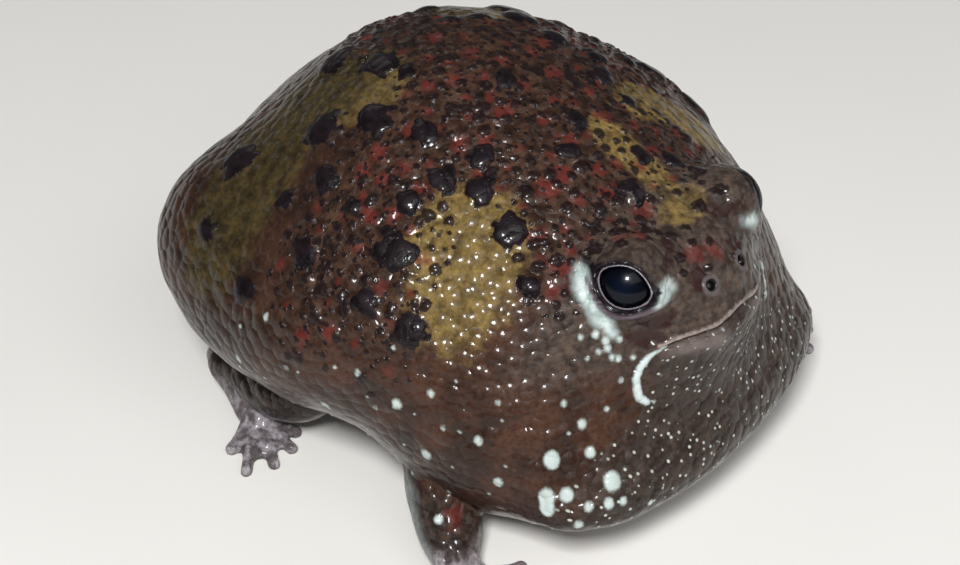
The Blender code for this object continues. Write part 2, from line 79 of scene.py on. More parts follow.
SNOUT = Mass((0, -18.7, 24.3), (5.2, 4.5, 4.5), 0, 4)
HIP = Mass((15.6, 21.8, 18.8), (7.3, 7.3, 7.3), 0, 8)
BACK = Mass((0, 9.1, 21.8), (15.9, 15.9, 15.9), 0, 10)
RUMP = Mass((0, 22.5, 18.3), (6.5, 6.5, 6.5), 0, 8)
EYE = (7.3, -17.5, 28.0)
EYE_RADIUS = 2.8
EYE_AXIS = (0.82, -0.38, 0.43)
EYE_LEAN = 17
LIDS = Mass(EYE, (3.45, 3.45, 3.45), 0, 1.0)
MASSES = (TRUNK, HEAD, THROAT, CHEST, BROW, SNOUT, HIP, BACK, RUMP, LIDS)
BODY_CENTRE = np.array((0.0, -1.8, 19.3))
BODY_REACH = 48.0
FRONT = np.array((0.0, -0.93, 0.37))
FRONT_PULL = 0.25
MOUTH_POINT = Vector((0, -20.96, 18.19))
MOUTH_RISE = Vector((0, -0.405, 0.9145))
MOUTH_FRONT = Vector((0, -0.9145, -0.405))
MOUTH_HEART = Vector((0, -19.5, 14.9))
MOUTH_HALF_ANGLE = math.radians(71)
# How the mouth's line leaves its plane: back at each cheek, forward again at its corner
MOUTH_DIP = -1.0
CHEEK_RISE = 2.5
CHEEK_ANGLES = (12, 52)
CORNER_FALL = 2.6
CORNER_ANGLES = (49, 79)
# The left nostril, in plan
NOSTRIL = (2.2, -22.7)

# The large warts, as the solids have them: plan position and diameter
LARGE_WARTS = (
    (-12.9, 12.5, 4.2), (-10.9, 8.2, 3.6), (-5.9, 12.0, 3.3), (-5.5, 17.7, 4.3), (-5.5, 9.0, 2.2),
    (-9.8, 3.3, 2.6), (-8.4, -2.1, 2.7), (-12.1, -0.6, 2.7), (-10.7, -3.7, 2.6), (-15.1, 0.8, 2.3),
    (-16.4, 9.4, 2.6), (-17.6, 5.3, 1.7), (-18.4, -0.7, 3.6), (-11.5, -7.6, 3.2), (-21.6, 7.3, 3.1),
    (-18.7, 12.2, 2.4), (-22.3, -0.4, 2.4), (-21.6, -4.9, 3.2), (-24.8, 12.2, 2.6),
    (-16.5, 20.2, 4.3), (-22.3, 18.9, 2.5), (-13.2, -11.5, 2.0), (-2.4, -7.0, 2.3),
    (0.8, -5.3, 2.3), (-0.9, 1.7, 2.2), (-0.9, -12.8, 2.6), (3.1, -11.1, 2.5), (8.0, -5.8, 2.0),
    (5.8, -12.6, 1.9), (3.0, 11.2, 2.3), (5.2, 16.1, 2.5),
)
# Like warts over the midline: how far they shift, how far off it they start, their room
WART_SHIFT = 1.1
MIDLINE = 2.0
GAP = 0.3

# Limbs, for the right side, as the solids have them
ARM_PATH = ((-15.5, -3.8, 8.8), (-18.2, -5.2, 7.9), (-20.3, -7.3, 6.2), (-21.9, -9.3, 4.2),
            (-23.3, -11.2, 2.6), (-24.2, -12.6, 1.9))
ARM_RADII = (2.9, 3.5, 3.5, 3.1, 2.4, 1.9)
PALM = (-23.9, -12.9, 1.35)
PALM_RADII = (2.3, 2.3, 1.4)
HAND_HEADING = math.radians(-18)
FINGER_SPREAD = math.radians(29)
FINGER_LENGTHS = (5.2, 6.4, 6.9, 5.6)
FINGER_RADII = (0.95, 0.62)
LEG_PATH = ((-16.6, 8.6, 9.8), (-18.3, 10.8, 7.0), (-19.0, 13.6, 5.1), (-18.8, 17.0, 4.3),
            (-18.2, 20.2, 3.9), (-17.9, 22.6, 3.6))
LEG_RADII = (2.6, 2.9, 2.9, 2.7, 2.4, 2.0)
FOOT_PATH = ((-17.9, 24.4, 3.3), (-18.1, 23.0, 3.5), (-18.7, 20.8, 3.1), (-19.3, 19.0, 2.2),
             (-20.0, 17.3, 1.6), (-20.6, 16.2, 1.3))
FOOT_RADII = (1.4, 2.2, 2.2, 2.1, 2.0, 1.5)
TOE_ROOT = (-20.0, 17.1, 1.3)
TOE_HEADING = math.radians(33)
TOE_SPREAD = math.radians(22)
TOE_LENGTHS = (4.3, 5.6, 6.8, 7.5, 5.0)
TOE_RADII = (1.0, 0.68)
TOE_WEB = 0.72
WEB_RADIUS = 0.42
TIP_HEIGHT = 0.50
SPADE_CENTRE = Vector((-17.2, 17.3, 1.25))
SPADE_RADII = (1.05, 1.95, 1.1)
SPADE_TURN = math.radians(14)

# Fineness of the skin
BODY_CUTS = 98
LIMB_VOXEL = 0.25
PATH_STEPS = 4
MOUTH_LOOPS = (-0.75, -0.4, -0.18, 0.0, 0.18, 0.4, 0.75)

# The photograph's camera, in the design's millimetres, for a frame 960 pixels wide
CAMERA_AZIMUTH = -50.42
CAMERA_ELEVATION = 39.45
CAMERA_DISTANCE = 198.0
CAMERA_TARGET = Vector((-6.19, 0.0, 18.04))
CAMERA_FOCUS_PIXELS = 2111.9
FRAME_PIXELS = 960
SENSOR_MM = 36.0
CAMERA_NEAR = 0.01

# Steps of the search for the skin, and lengths too small or too great to matter
HALVINGS = 20
TINY = 1e-9
MERGE = 1e-4
FAR = 9.0

# Digits: where along one its knots lie, how thick it is there in shares of its two radii, and
# how soon it sinks to the floor
DIGIT_KNOTS = (0.1, 0.35, 0.62, 0.82, 1.0)
DIGIT_THICK = (1.0, 0.86)
DIGIT_THIN = (1.05, 0.92, 1.05)
DIGIT_SINK = 0.7
# How far a web's middle is drawn in, as a share of its place
WEB_DRAW = 0.999
# Rounds of smoothing: of a whole limb, and near its join to the body by the distance from it
LIMB_ROUNDS = 5
JOIN_ROUNDS = ((1.4, 8), (0.7, 10))

# The grid of the body's rays, and where the mouth's line is cut into it
GRID_ANGLE = 0.785
MOUTH_FACES_ALONG = -18
MOUTH_SNAP = 0.02
BEND_UP = (-6, 0)
FRONT_UP = (-1.0, 1.0)

# Lids: half width and half height of their opening, its pinch at the corners, its rim and cut
LID_WIDTH = 2.85
LID_HEIGHT = 2.18
LID_PINCH = 0.28
LID_RIM = 0.22
LID_STAND = 0.30
LID_STEPS = 64
LID_CUT_DEPTH = 4.0
LID_CUT_OUT = 3.4
# Skin further back than this along the eye's axis counts as off the lids
LID_BACK = -1.2
OFF_LIDS = 3.0
# How much wider than the eye its hollow is, and how much smaller the eyeball
EYE_ROOM = 0.04
EYE_PLAY = 0.02
# The lids' black margin and the lower lid's roll, as shares of the opening
LID_MARGIN = (1.17, 1.07)
LOWER_LID = (1.38, 1.24)
LOWER_LID_TALL = (-0.3, -0.7)
# The margin's black points at the eye's corners: reach and height, front and rear
FRONT_CORNER = (1.2, 0.5)
REAR_CORNER = (1.42, 0.15)
CORNER_SLOPE = 1.1
CORNER_EDGE = 0.07
CORNER_START = 0.85
# Nostrils: the way the left one opens, how far out its pit lies and the pit's radii
NOSTRIL_WAY = Vector((0.25, -0.75, 0.6))
NOSTRIL_OUT = 0.3
NOSTRIL_RADII = (0.40, 0.48, 1.2)

# How marks stand out of the skin: the width on which each rises, and its height
WART_RISE = (1.3, 0.42)
DOT_RISE = (0.4, 0.20)
PALE_RISE = (0.5, 0.15)
FOLD_RISE = (0.4, 0.28)
# Ridges and grooves along the mouth, nostrils and lids: place, half width and rise
LIP_RIDGE = (0.55, 0.42, 0.28)
CHIN_RIDGE = (-0.7, 0.5, 0.22)
MOUTH_GROOVE = (0.0, 0.22, -0.55)
MOUTH_ENDS = (0.55, 0.72)
NOSTRIL_RIM = (0.72, 0.26, 0.32)
LID_ROLL = (1.24, 0.1, 0.20)
LID_ROLL_TALL = (0.1, -0.6)
LID_CREASE = (1.48, 0.08, -0.20)
# Gentle unevenness of all skin: size, height and seed
UNEVEN = ((3.4, 0.16, 1), (1.1, 0.06, 2))
# Where the relief dies out: round the eyes, beyond the eyeball, and above the floor
EYE_CALM = (0.5, 1.3)
FLOOR_CALM = (0.02, 0.5)

# Where regions of the skin fade in, from the first value to the second: along the body, up it
# and out of it in millimetres, or by how far the skin faces up
FACING_UP = (-0.1, 0.45)
BACK_HEIGHT = (15, 22)
REAR_ALONG = (4, 16)
BROW_ALONG = (-11, -15)
BROW_HEIGHT = (19, 23)
HEAD_OLIVE_ALONG = (-9, -13)
HEAD_OLIVE_ACROSS = (8, 5)
HEAD_OLIVE_LOSS = 0.4
CROSS_LOSS = 0.8
TOP_FACING = (-0.8, 0.35)
BELLY_FACING = (-0.4, -1.0)
TRUNK_OUT = (0.8, 0.3)
LIMB_OUT = (0.1, 1.2)
FOOT_HEIGHT = (5.0, 2.5)
THROAT_LIFT = (0.3, -0.3)
THROAT_ALONG = (-17, -24)
# The limbs' pale rear edge: the way it faces, out and back, and how far forward it goes
EDGE_WAY = (0.637, 0.771)
EDGE_FACING = (0.6, 0.95)
EDGE_ALONG = (0, -4)
# The light lips and chin: place over the mouth's line, half width, and ends along it
LIP_LINE = (0.37, 0.25)
LIP_END = 0.62
CHIN_LINE = (-0.6, 0.5, 1.0)
CHIN_START = (0.08, 0.25)
CHIN_END = (0.68, 0.5)

# Random draws: seeds, and the least and greatest share of size and stretch of the marks
WART_SEED = 7
MARK_SEED = 3
WART_SIZES = (0.85, 1.15)
WART_STRETCH = (0.8, 1.25)
DOT_STRETCH = (0.8, 1.3)
HEAD_STRETCH = 1.2
# How far from its centre a mark is measured: a share of its diameter and a margin
MARK_REACH = 0.8
MARK_MARGIN = 1.6
# Scattered marks: spacing, smallest and largest diameter, how many at most, room round an eye
SEEDS = (1.05, (0.4, 1.3), 1100)
SEED_EYE_ROOM = 4.0
SEED_WART_ROOM = 0.55
REDS = (1.9, (0.6, 1.8), 140)
RED_EYE_ROOM = 3.9
RED_WART_ROOM = 0.2
RED_SEED_ROOM = 0.1
FLECKS = (3.8, (0.25, 0.6), 110)
FLECK_EYE_ROOM = 5
FLECK_SHARE = 0.4
FLECK_FACING = (0.5, -0.2)
FLECK_HEIGHT = (6, 26)
FLECK_ALONG = 14
# Rough noise: size, strength and seed; and how strongly it frays each kind of mark
RAGGED = ((1.1, 1.0, 3), (0.5, 0.4, 4))
TORN = ((0.75, 0.9, 5),)
FRAY = {"dark": 0.42, "swell": 0.15, "dots": 0.3, "red": 0.6, "pale": 0.1, "patch": 0.25,
        "smudge": 0.3, "lips": 0.06, "fold": 0.06}
# Single marks of the forearm, for the right side: place, diameter and stretch
ARM_RED = ((-22.8, -10.8, 6.8), 1.6, 1.3)
ARM_SPOT = ((-23.8, -9.7, 6.7), 0.9, 1.0)

# Small dark warts of the snout and brows: plan place and diameter
HEAD_WARTS = (
    ((-1.0, -19.7), 0.9), ((0.4, -20.5), 0.8), ((-0.1, -18.4), 0.9), ((-2.1, -18.2), 1.0),
    ((-3.3, -20.0), 1.0), ((-3.9, -20.9), 0.9), ((-1.4, -21.9), 0.9), ((5.3, -18.2), 1.4),
    ((2.8, -17.7), 1.3), ((6.1, -15.6), 1.3), ((-2.7, -15.3), 1.1), ((-4.2, -14.4), 1.0),
    ((-6.3, -13.0), 1.1), ((1.6, -22.3), 0.7), ((-5.5, -14.9), 1.3), ((-6.9, -16.3), 1.1),
    ((-8.1, -14.9), 0.9), ((-4.4, -17.4), 0.8),
)
SNOUT_REDS = (((-1.6, -20.6), 1.8), ((0.1, -21.4), 1.7), ((-4.6, -16.6), 1.3))

# Ellipses in plan where the skin takes a colour: x, y, half width, half length
CROSS_PLAN = ((0, -1, 13, 12), (-18, 3.5, 8, 6), (18, 3.5, 8, 6), (0, 13, 6.5, 7),
              (-5, -10, 8, 6), (5, -10, 7, 6), (-19, -2, 6, 4))
LEFT_OLIVE = ((10.6, -6.3, 3.4, 2.7), (14.2, -9.2, 3.2, 2.8))
OLIVE_PLAN = ((-15.3, -6.0, 5.6, 5.0), (-17, 17.5, 11, 4.6), (-8.3, 13, 4.2, 5.0),
              *LEFT_OLIVE, (2.4, -11.0, 2.0, 5.4), (1.5, -16.8, 3.0, 1.8),
              (17, 17.5, 11, 4.6), (8.3, 13, 4.2, 5.0))
# Pale spots on the right flank as the photograph shows them: how far along, how high, diameter
PALE_SPOTS = (
    (-18.0, 15.1, 1.5), (-22.3, 12.8, 1.7), (-18.6, 11.9, 1.5), (-18.9, 11.0, 1.4),
    (-20.0, 12.3, 1.3), (-20.1, 15.2, 1.0), (-5.1, 18.1, 1.0), (-7.9, 13.3, 1.1),
    (-7.9, 20.0, 0.7), (8.4, 22.1, 0.7), (-18.9, 17.6, 0.9), (2.5, 14.5, 0.8),
    (12.0, 15.5, 0.9), (-12.5, 16.5, 0.8), (-14.5, 12.5, 0.9), (-17.3, 19.6, 0.6),
    (5.4, 18.4, 0.6), (-1.5, 20.5, 0.6), (-16.5, 24.6, 0.5), (-18.9, 22.7, 0.6),
    (-19.3, 22.5, 0.6), (-18.9, 24.1, 0.6), (-18.1, 24.1, 0.7), (-17.3, 24.7, 0.7),
    (-17.5, 22.9, 0.4), (-18.4, 23.5, 0.7), (-19.9, 20.5, 0.5), (-18.0, 23.3, 0.5),
    (-21.5, 9.7, 0.9), (-21.8, 11.4, 0.9), (-22.9, 11.3, 1.0), (-23.6, 11.1, 0.8),
    (-13.1, 20.0, 0.5), (-9.4, 17.0, 0.5), (-3.0, 16.8, 0.5),
)
# White patches round the right eye: routes and half widths
EYE_PATCHES = (
    (((-7.4, -20.9, 27.6), (-6.8, -21.1, 28.1), (-6.1, -21.0, 28.5), (-5.5, -20.8, 28.7)),
     (0.8, 1.15, 0.85, 0.3)),
    (((-9.7, -14.0, 29.2), (-10.1, -14.7, 28.8), (-10.6, -15.5, 28.1), (-10.9, -16.3, 27.3),
      (-10.9, -17.1, 26.4), (-10.7, -17.8, 25.4), (-10.5, -18.4, 24.6)),
     (0.5, 0.9, 1.05, 1.0, 0.8, 0.6, 0.35)),
)
# Dark reddish smudges below the right eye, beside the nostril and over the brow
SMUDGES = (
    (((-9.1, -20.2, 26.3), (-7.9, -20.7, 25.3), (-6.9, -21.2, 25.3), (-6.2, -21.5, 25.8)),
     (0.5, 0.8, 0.8, 0.5)),
    (((-9.4, -19.6, 24.3), (-8.4, -20.4, 23.9), (-7.4, -21.3, 23.8)), (0.7, 0.9, 0.6)),
    (((-2.2, -21.5, 28.4), (-3.1, -21.8, 27.9), (-3.5, -22.2, 27.2)), (0.6, 0.8, 0.6)),
    (((-2.6, -17.8, 30.4), (-3.3, -18.7, 30.1), (-4.2, -19.6, 29.8), (-5.8, -20.1, 30.0)),
     (0.4, 0.6, 0.6, 0.4)),
)
# The white fold at the mouth's right corner: route and half widths
MOUTH_FOLD = (
    (((-9.3, -21.6, 17.7), (-9.9, -21.2, 18.5), (-9.9, -20.9, 19.3), (-9.8, -20.7, 20.4),
      (-9.3, -20.7, 21.4), (-8.6, -21.0, 22.2), (-7.9, -21.4, 22.6), (-7.0, -21.9, 22.9)),
     (0.35, 0.42, 0.42, 0.42, 0.38, 0.3, 0.22, 0.12)),
)
# The way pale spots are drawn out, and how much
UPRIGHT = Vector((0, 0, 1))
PALE_STRETCH = 1.25
# Pale spots further back than this have a like one on the left, shifted by up to so much
FAR_SPOTS_ALONG = -16
FAR_SPOT_SHIFT = (1.5, 1.0)
# How wide the left side's like marks are, as shares of the right side's
LEFT_PATCH = 0.6
LEFT_FOLD = 0.45

# Real sizes in the skin, in millimetres: its grains, and the spacing of points and granules
GRAINS = (4.0, 1.3, 0.45)
SPECK = 0.2
THROAT_POINTS = 0.72
THROAT_DRAWN_OUT = (1.0, 0.35, 1.0)
CROSS_GRANULES = 0.8
GRANULES = 1.2
GRANULE_HEIGHT = 0.36
PORE_HEIGHT = 0.08
# Levels of a grain between which one tone goes over into the other
DRIFTING = (0.35, 0.65)
DAPPLED = (0.3, 0.66)
BLOTCHED = (0.42, 0.6)
SKIN_FIELDS = ("cross", "olive", "rear", "brow", "top", "under", "dark", "dots", "red", "pale",
               "patch", "smudge", "lips", "fold", "chin", "nostril", "throat", "limb", "foot",
               "pale_edge", "lid", "lower_lid")

# Studio: the floor and lamps in metres and watts, and the sky's tone and strength
FLOOR_REACH = 1.5
AIM = Vector((0, 0, 0.015))
# Towards the small lamp whose glints fall on the shoulder
FLASH_WAY = Vector((-0.53, -0.33, 0.78)).normalized()
# Lamps: name, place, power, size and colour
LAMPS = (
    ("key", Vector((-0.10, -0.28, 0.36)), 0.42, 0.30, (1, 1, 1)),
    ("flash", FLASH_WAY * 0.45, 2.1, 0.080, (1, 1, 1)),
    ("fill", Vector((0.35, -0.30, 0.30)), 0.32, 0.35, (0.95, 0.97, 1.0)),
    ("rim", Vector((0.15, 0.40, 0.35)), 0.15, 0.25, (1.0, 0.98, 0.95)),
)
SKY_TONE = "#e8eaee"
SKY_STRENGTH = 0.13


def mirrored(point, side):
    return Vector((-point[0] * SIDES[side], point[1], point[2]))


def place_in_frame():
    """Return where the design's origin lies in the frame, in millimetres."""
    low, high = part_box("eye_left")
    return (low + high) / 2 / MM - Vector(EYE)


SHIFT = place_in_frame()


# The body's form as a smooth union of ellipsoids
def mass_distance(points, mass, way):
    """Return roughly the distance outside one ellipsoid, or outside its mirror image."""
    tilt = math.radians(mass.tilt)
    turn = np.array(((1, 0, 0), (0, math.cos(tilt), -math.sin(tilt)),
                     (0, math.sin(tilt), math.cos(tilt))))
    centre = np.array(mass.centre, float) * (way, 1, 1)
    radii = np.array(mass.radii, float)
    local = (points - centre) @ turn
    near = np.linalg.norm(local / radii, axis=-1)
    slope = np.linalg.norm(local / radii ** 2, axis=-1) + TINY
    return near * (near - 1.0) / slope


def blend(first, second, width):
    """Join two distances with a rounded valley between them."""
    overlap = np.maximum(width - np.abs(first - second), 0) / width
    return np.minimum(first, second) - overlap ** 2 * width / 4


def body_field(points):
    """Return roughly the distance outside the bare body, negative inside it."""
    field = mass_distance(points, TRUNK, 1)
    for mass in MASSES[1:]:
        for way in ((1,) if mass.centre[0] == 0 else (1, -1)):
            field = blend(field, mass_distance(points, mass, way), mass.blend)
    return field


def meet_skin(origins, directions):
    """Walk from inside along each direction and return where the skin is met."""
    near = np.zeros(len(directions))
    far = np.full(len(directions), BODY_REACH)
    for _ in range(HALVINGS):
        middle = (near + far) / 2
        inside = body_field(origins + directions * middle[:, None]) < 0
        near = np.where(inside, middle, near)
        far = np.where(inside, far, middle)
    return origins + directions * ((near + far) / 2)[:, None]


def skin_above(x, y):
    start = np.array(((x, y, BODY_CENTRE[2]),))
    return Vector(meet_skin(start, np.array(((0.0, 0.0, 1.0),)))[0])


def skin_beside(y, z, way):
    start = np.array(((0.0, y, z),))
    return Vector(meet_skin(start, np.array(((float(way), 0.0, 0.0),)))[0])


def smoothstep(low, high, value):
    share = np.clip((value - low) / (high - low), 0, 1)
    return share * share * (3 - 2 * share)


def path_distance(points, path, radii):
    """Return the distance outside a tube that tapers along a path."""
    best = np.full(len(points), np.inf)
    for start, end, first, last in zip(path, path[1:], radii, radii[1:]):
        start = np.array(start, float)
        along = np.array(end, float) - start
        share = np.clip((points - start) @ along / (along @ along), 0, 1)
        gap = np.linalg.norm(points - start - share[:, None] * along, axis=1)
        best = np.minimum(best, gap - (first + (last - first) * share))
    return best


# Mesh helpers
def link(thing):
    bpy.context.scene.collection.objects.link(thing)
    return thing


def object_of(name, form):
    """Turn a bmesh into an object, and free it."""
    mesh = bpy.data.meshes.new(name)
    form.to_mesh(mesh)
    form.free()
    return bpy.data.objects.new(name, mesh)


def evaluated(form, name, kind, **settings):
    """Apply one modifier to a bmesh and return the result as a bmesh."""
    holder = link(object_of(name, form))
    mesh = holder.data
    modifier = holder.modifiers.new(name, kind)
    for key, value in settings.items():
        setattr(modifier, key, value)
    graph = bpy.context.evaluated_depsgraph_get()
    made = bpy.data.meshes.new_from_object(holder.evaluated_get(graph))
    result = bmesh.new()
    result.from_mesh(made)
    bpy.data.objects.remove(holder)
    bpy.data.meshes.remove(mesh)
    bpy.data.meshes.remove(made)
    return result


def joined(forms):
    """Return several bmeshes as one, with no fusing."""
    whole = bmesh.new()
    for form in forms:
        mesh = bpy.data.meshes.new("part")
        form.to_mesh(mesh)
        form.free()
        whole.from_mesh(mesh)
        bpy.data.meshes.remove(mesh)
    return whole


def boolean(base, pieces, operation):
    group = bpy.data.collections.new("pieces")
    for piece in pieces:
        group.objects.link(object_of("piece", piece))
    bpy.context.scene.collection.children.link(group)
    result = evaluated(base, "base", "BOOLEAN", operation=operation, solver="MANIFOLD",
                       operand_type="COLLECTION", collection=group)
    for piece in list(group.objects):
        bpy.data.objects.remove(piece)
    bpy.data.collections.remove(group)
    return result


def ellipsoid(centre, radii, turn=None, fineness=4):
    form = bmesh.new()
    place = Matrix.Translation(centre) @ (turn or Matrix()) @ Matrix.Diagonal((*radii, 1.0))
    bmesh.ops.create_icosphere(form, subdivisions=fineness, radius=1.0, matrix=place)
    return form


def facing(normal):
    return normal.to_track_quat("Z", "Y").to_matrix().to_4x4()


def tube(points, radii, closed=False, resolution=8):
    curve = bpy.data.curves.new("tube", "CURVE")
    curve.dimensions = "3D"
    curve.bevel_depth = 1.0
    curve.bevel_resolution = resolution
    curve.use_fill_caps = True
    spline = curve.splines.new("POLY")
    spline.points.add(len(points) - 1)
    for knot, point, radius in zip(spline.points, points, radii):
        knot.co = (*point, 1.0)
        knot.radius = radius
    spline.use_cyclic_u = closed
    holder = bpy.data.objects.new("tube", curve)
    mesh = bpy.data.meshes.new_from_object(holder)
    form = bmesh.new()
    form.from_mesh(mesh)
    bmesh.ops.remove_doubles(form, verts=form.verts, dist=MERGE)
    bmesh.ops.recalc_face_normals(form, faces=form.faces)
    bpy.data.objects.remove(holder)
    bpy.data.curves.remove(curve)
    bpy.data.meshes.remove(mesh)
    return form


def smooth_path(points, radii, steps):
    """Return points and radii of a flowing path through the given ones."""
    knots = np.column_stack((np.array(points, float), np.array(radii, float)))
    knots = np.vstack((2 * knots[0] - knots[1], knots, 2 * knots[-1] - knots[-2]))
    flow = []
    for before, start, end, after in zip(knots, knots[1:], knots[2:], knots[3:]):
        for on in np.arange(steps) / steps:
            pull = (end - before) * on + (2 * before - 5 * start + 4 * end - after) * on ** 2
            pull += (3 * start - before - 3 * end + after) * on ** 3
            flow.append(start + 0.5 * pull)
    flow.append(knots[-2])
    flow = np.array(flow)
    return flow[:, :3], flow[:, 3]


def coordinates(form):
    return np.array([vertex.co for vertex in form.verts])


def distance_to(points, places):
    """Return the distance from the nearest of a few places."""
    gaps = [np.linalg.norm(points - np.array(place), axis=1) for place in places]
    return np.min(gaps, axis=0)


def relax(form, verts, rounds):
    for _ in range(rounds):
        bmesh.ops.smooth_vert(form, verts=verts, factor=0.5, use_axis_x=True,
                              use_axis_y=True, use_axis_z=True)


def stand_flat(form):
    """Flatten what would lie below the floor."""
    for vertex in form.verts:
        vertex.co.z = max(vertex.co.z, 0.0)


# Limbs, each one round form with its fingers or toes
def digit_path(root, heading, length, radii, side, height):
    start = Vector(root)
    way = Vector((-math.sin(heading), -math.cos(heading), 0))
    thick, thin = radii
    sizes = [thick * share for share in DIGIT_THICK] + [thin * share for share in DIGIT_THIN]
    points = []
    for share in DIGIT_KNOTS:
        point = start + way * length * share
        point.z = start.z + (height - start.z) * share ** DIGIT_SINK
        points.append(mirrored(point, side))
    return smooth_path(points, sizes, PATH_STEPS)


def fan(root, heading, spread, lengths, radii, side):
    middle = (len(lengths) - 1) / 2
    turns = [heading + spread * (step - middle) for step in range(len(lengths))]
    return [digit_path(root, turn, length, radii, side, TIP_HEIGHT)
            for turn, length in zip(turns, lengths)]


def round_tube(points, radii):
    ends = [ellipsoid(Vector(points[at]), (radii[at],) * 3, fineness=3) for at in (0, -1)]
    return [tube(points, radii), *ends]


def rounded_limb(forms):
    """Fuse overlapping forms into one soft form that stands on flats at the floor."""
    form = evaluated(joined(forms), "limb", "REMESH", mode="VOXEL", voxel_size=LIMB_VOXEL)
    relax(form, form.verts, LIMB_ROUNDS)
    stand_flat(form)
    return form


def limb_path(path, radii, side):
    return smooth_path([mirrored(knot, side) for knot in path], radii, PATH_STEPS)


def arm(side):
    points, radii = limb_path(ARM_PATH, ARM_RADII, side)
    forms = round_tube(points, radii)
    forms.append(ellipsoid(mirrored(PALM, side), PALM_RADII))
    for path, sizes in fan(PALM, HAND_HEADING, -FINGER_SPREAD, FINGER_LENGTHS, FINGER_RADII, side):
        forms += round_tube(path, sizes)
    return rounded_limb(forms)


def leg(side):
    points, radii = limb_path(LEG_PATH, LEG_RADII, side)
    forms = round_tube(points, radii)
    points, radii = limb_path(FOOT_PATH, FOOT_RADII, side)
    forms += round_tube(points, radii)
    toes = fan(TOE_ROOT, TOE_HEADING, TOE_SPREAD, TOE_LENGTHS, TOE_RADII, side)
    for path, sizes in toes:
        forms += round_tube(path, sizes)
    for (first, _), (second, _) in zip(toes, toes[1:]):
        reach = int(len(first) * TOE_WEB)
        for step in range(2, reach):
            middle = (first[step] + second[step]) / 2 * WEB_DRAW
            forms.append(tube([first[step], middle, second[step]], [WEB_RADIUS] * 3, resolution=3))
    return rounded_limb(forms)


# Eyes and lids
def eye_place(side):
    return mirrored((-EYE[0], EYE[1], EYE[2]), side)


def eye_places():
    return [eye_place(side) for side in SIDES]


def eye_frame(side):
    """Return the eye's forward, rise and outward directions, its front corner lower."""
    axis = mirrored((-EYE_AXIS[0], EYE_AXIS[1], EYE_AXIS[2]), side).normalized()
    forward = axis.cross(UPRIGHT).normalized() * SIDES[side]
    rise = (UPRIGHT - axis * axis.z).normalized()
    lean = math.radians(EYE_LEAN)
    return (forward * math.cos(lean) - rise * math.sin(lean),
            rise * math.cos(lean) + forward * math.sin(lean), axis)


def lid_line(side, out):
    """Return the line of the lids' margin, at a distance from the eye's centre."""
    forward, rise, axis = eye_frame(side)
    line = []
    for step in range(LID_STEPS):
        angle = math.tau * step / LID_STEPS
        across = forward * math.cos(angle) * LID_WIDTH
        across += rise * math.sin(angle) * LID_HEIGHT * (1 - LID_PINCH * math.cos(angle) ** 2)
        reach = math.sqrt(out ** 2 - across.length_squared)
        line.append(eye_place(side) + across + axis * reach)
    return line


def eye_oval(points, side):
    """Return how far points lie across the lids' opening, 1 at its edge, how high and fore."""
    forward, rise, axis = (np.array(way) for way in eye_frame(side))
    offset = points - np.array(eye_place(side))
    across = offset @ forward / LID_WIDTH
    pinch = 1 - LID_PINCH * np.clip(across, -1, 1) ** 2
    tall = offset @ rise / LID_HEIGHT / pinch
    oval = np.where(offset @ axis > LID_BACK, np.hypot(across, tall), OFF_LIDS)
    return oval, tall, across


def eye_corners(tall, across):
    """Return where the lids' margin runs out into a black point at each corner."""
    reach = np.where(across > 0, FRONT_CORNER[0], REAR_CORNER[0])
    middle = np.where(across > 0, FRONT_CORNER[1], REAR_CORNER[1])
    inside = CORNER_SLOPE * (reach - np.abs(across)) - np.abs(tall - middle)
    return smoothstep(0.0, CORNER_EDGE, inside) * (np.abs(across) > CORNER_START)


def lid_opening(side):
    """Return the solid whose removal opens the lids."""
    forward, rise, axis = eye_frame(side)
    form = bmesh.new()
    bmesh.ops.create_cone(form, cap_ends=True, segments=LID_STEPS, radius1=1.0, radius2=1.0,
                          depth=LID_CUT_DEPTH)
    for vertex in form.verts:
        across = forward * vertex.co.x * LID_WIDTH
        pinch = 1 - LID_PINCH * vertex.co.x ** 2
        across += rise * vertex.co.y * LID_HEIGHT * pinch
        vertex.co = eye_place(side) + across + axis * (vertex.co.z + LID_CUT_OUT)
    bmesh.ops.recalc_face_normals(form, faces=form.faces)
    return form


def nostril_places():
    return [skin_above(NOSTRIL[0] * way, NOSTRIL[1]) for way in SIDES.values()]


# Warts and dots
def clear_of(point, diameter, others, margin):
    return all((point - other).length > (diameter + size) / 2 + margin for other, size in others)


def large_warts():
    """Return the large warts as marks, with like ones over the midline."""
    chance = random.Random(WART_SEED)
    found = [(skin_above(x, y), diameter) for x, y, diameter in LARGE_WARTS]
    for x, y, diameter in LARGE_WARTS:
        other = skin_above(chance.uniform(-WART_SHIFT, WART_SHIFT) - x,
                           chance.uniform(-WART_SHIFT, WART_SHIFT) + y)
        grown = diameter * chance.uniform(*WART_SIZES)
        if x < -MIDLINE and clear_of(other, grown, found, GAP):
            found.append((other, grown))
    marks = [(centre, diameter, random_way(chance), chance.uniform(*WART_STRETCH))
             for centre, diameter in found]
    shown = len(LARGE_WARTS)
    return marks[:shown] + [mark for mark in marks[shown:]
                            if plan_weight(np.array((mark[0],)), LEFT_OLIVE)[0] < 0.5]


def random_way(chance):
    turn = chance.uniform(0, math.tau)
    return Vector((math.cos(turn), math.sin(turn), 0.0))


def routes_distance(points, routes, left_share=1.0):
    """Return the distance outside tubes along routes given for the right side."""
    best = np.full(len(points), FAR)
    for route, sizes in routes:
        for side, share in (("right", 1.0), ("left", left_share)):
            path = [mirrored(point, side) for point in route]
            widths = [size * share for size in sizes]
            best = np.minimum(best, path_distance(points, path, widths))
    return best


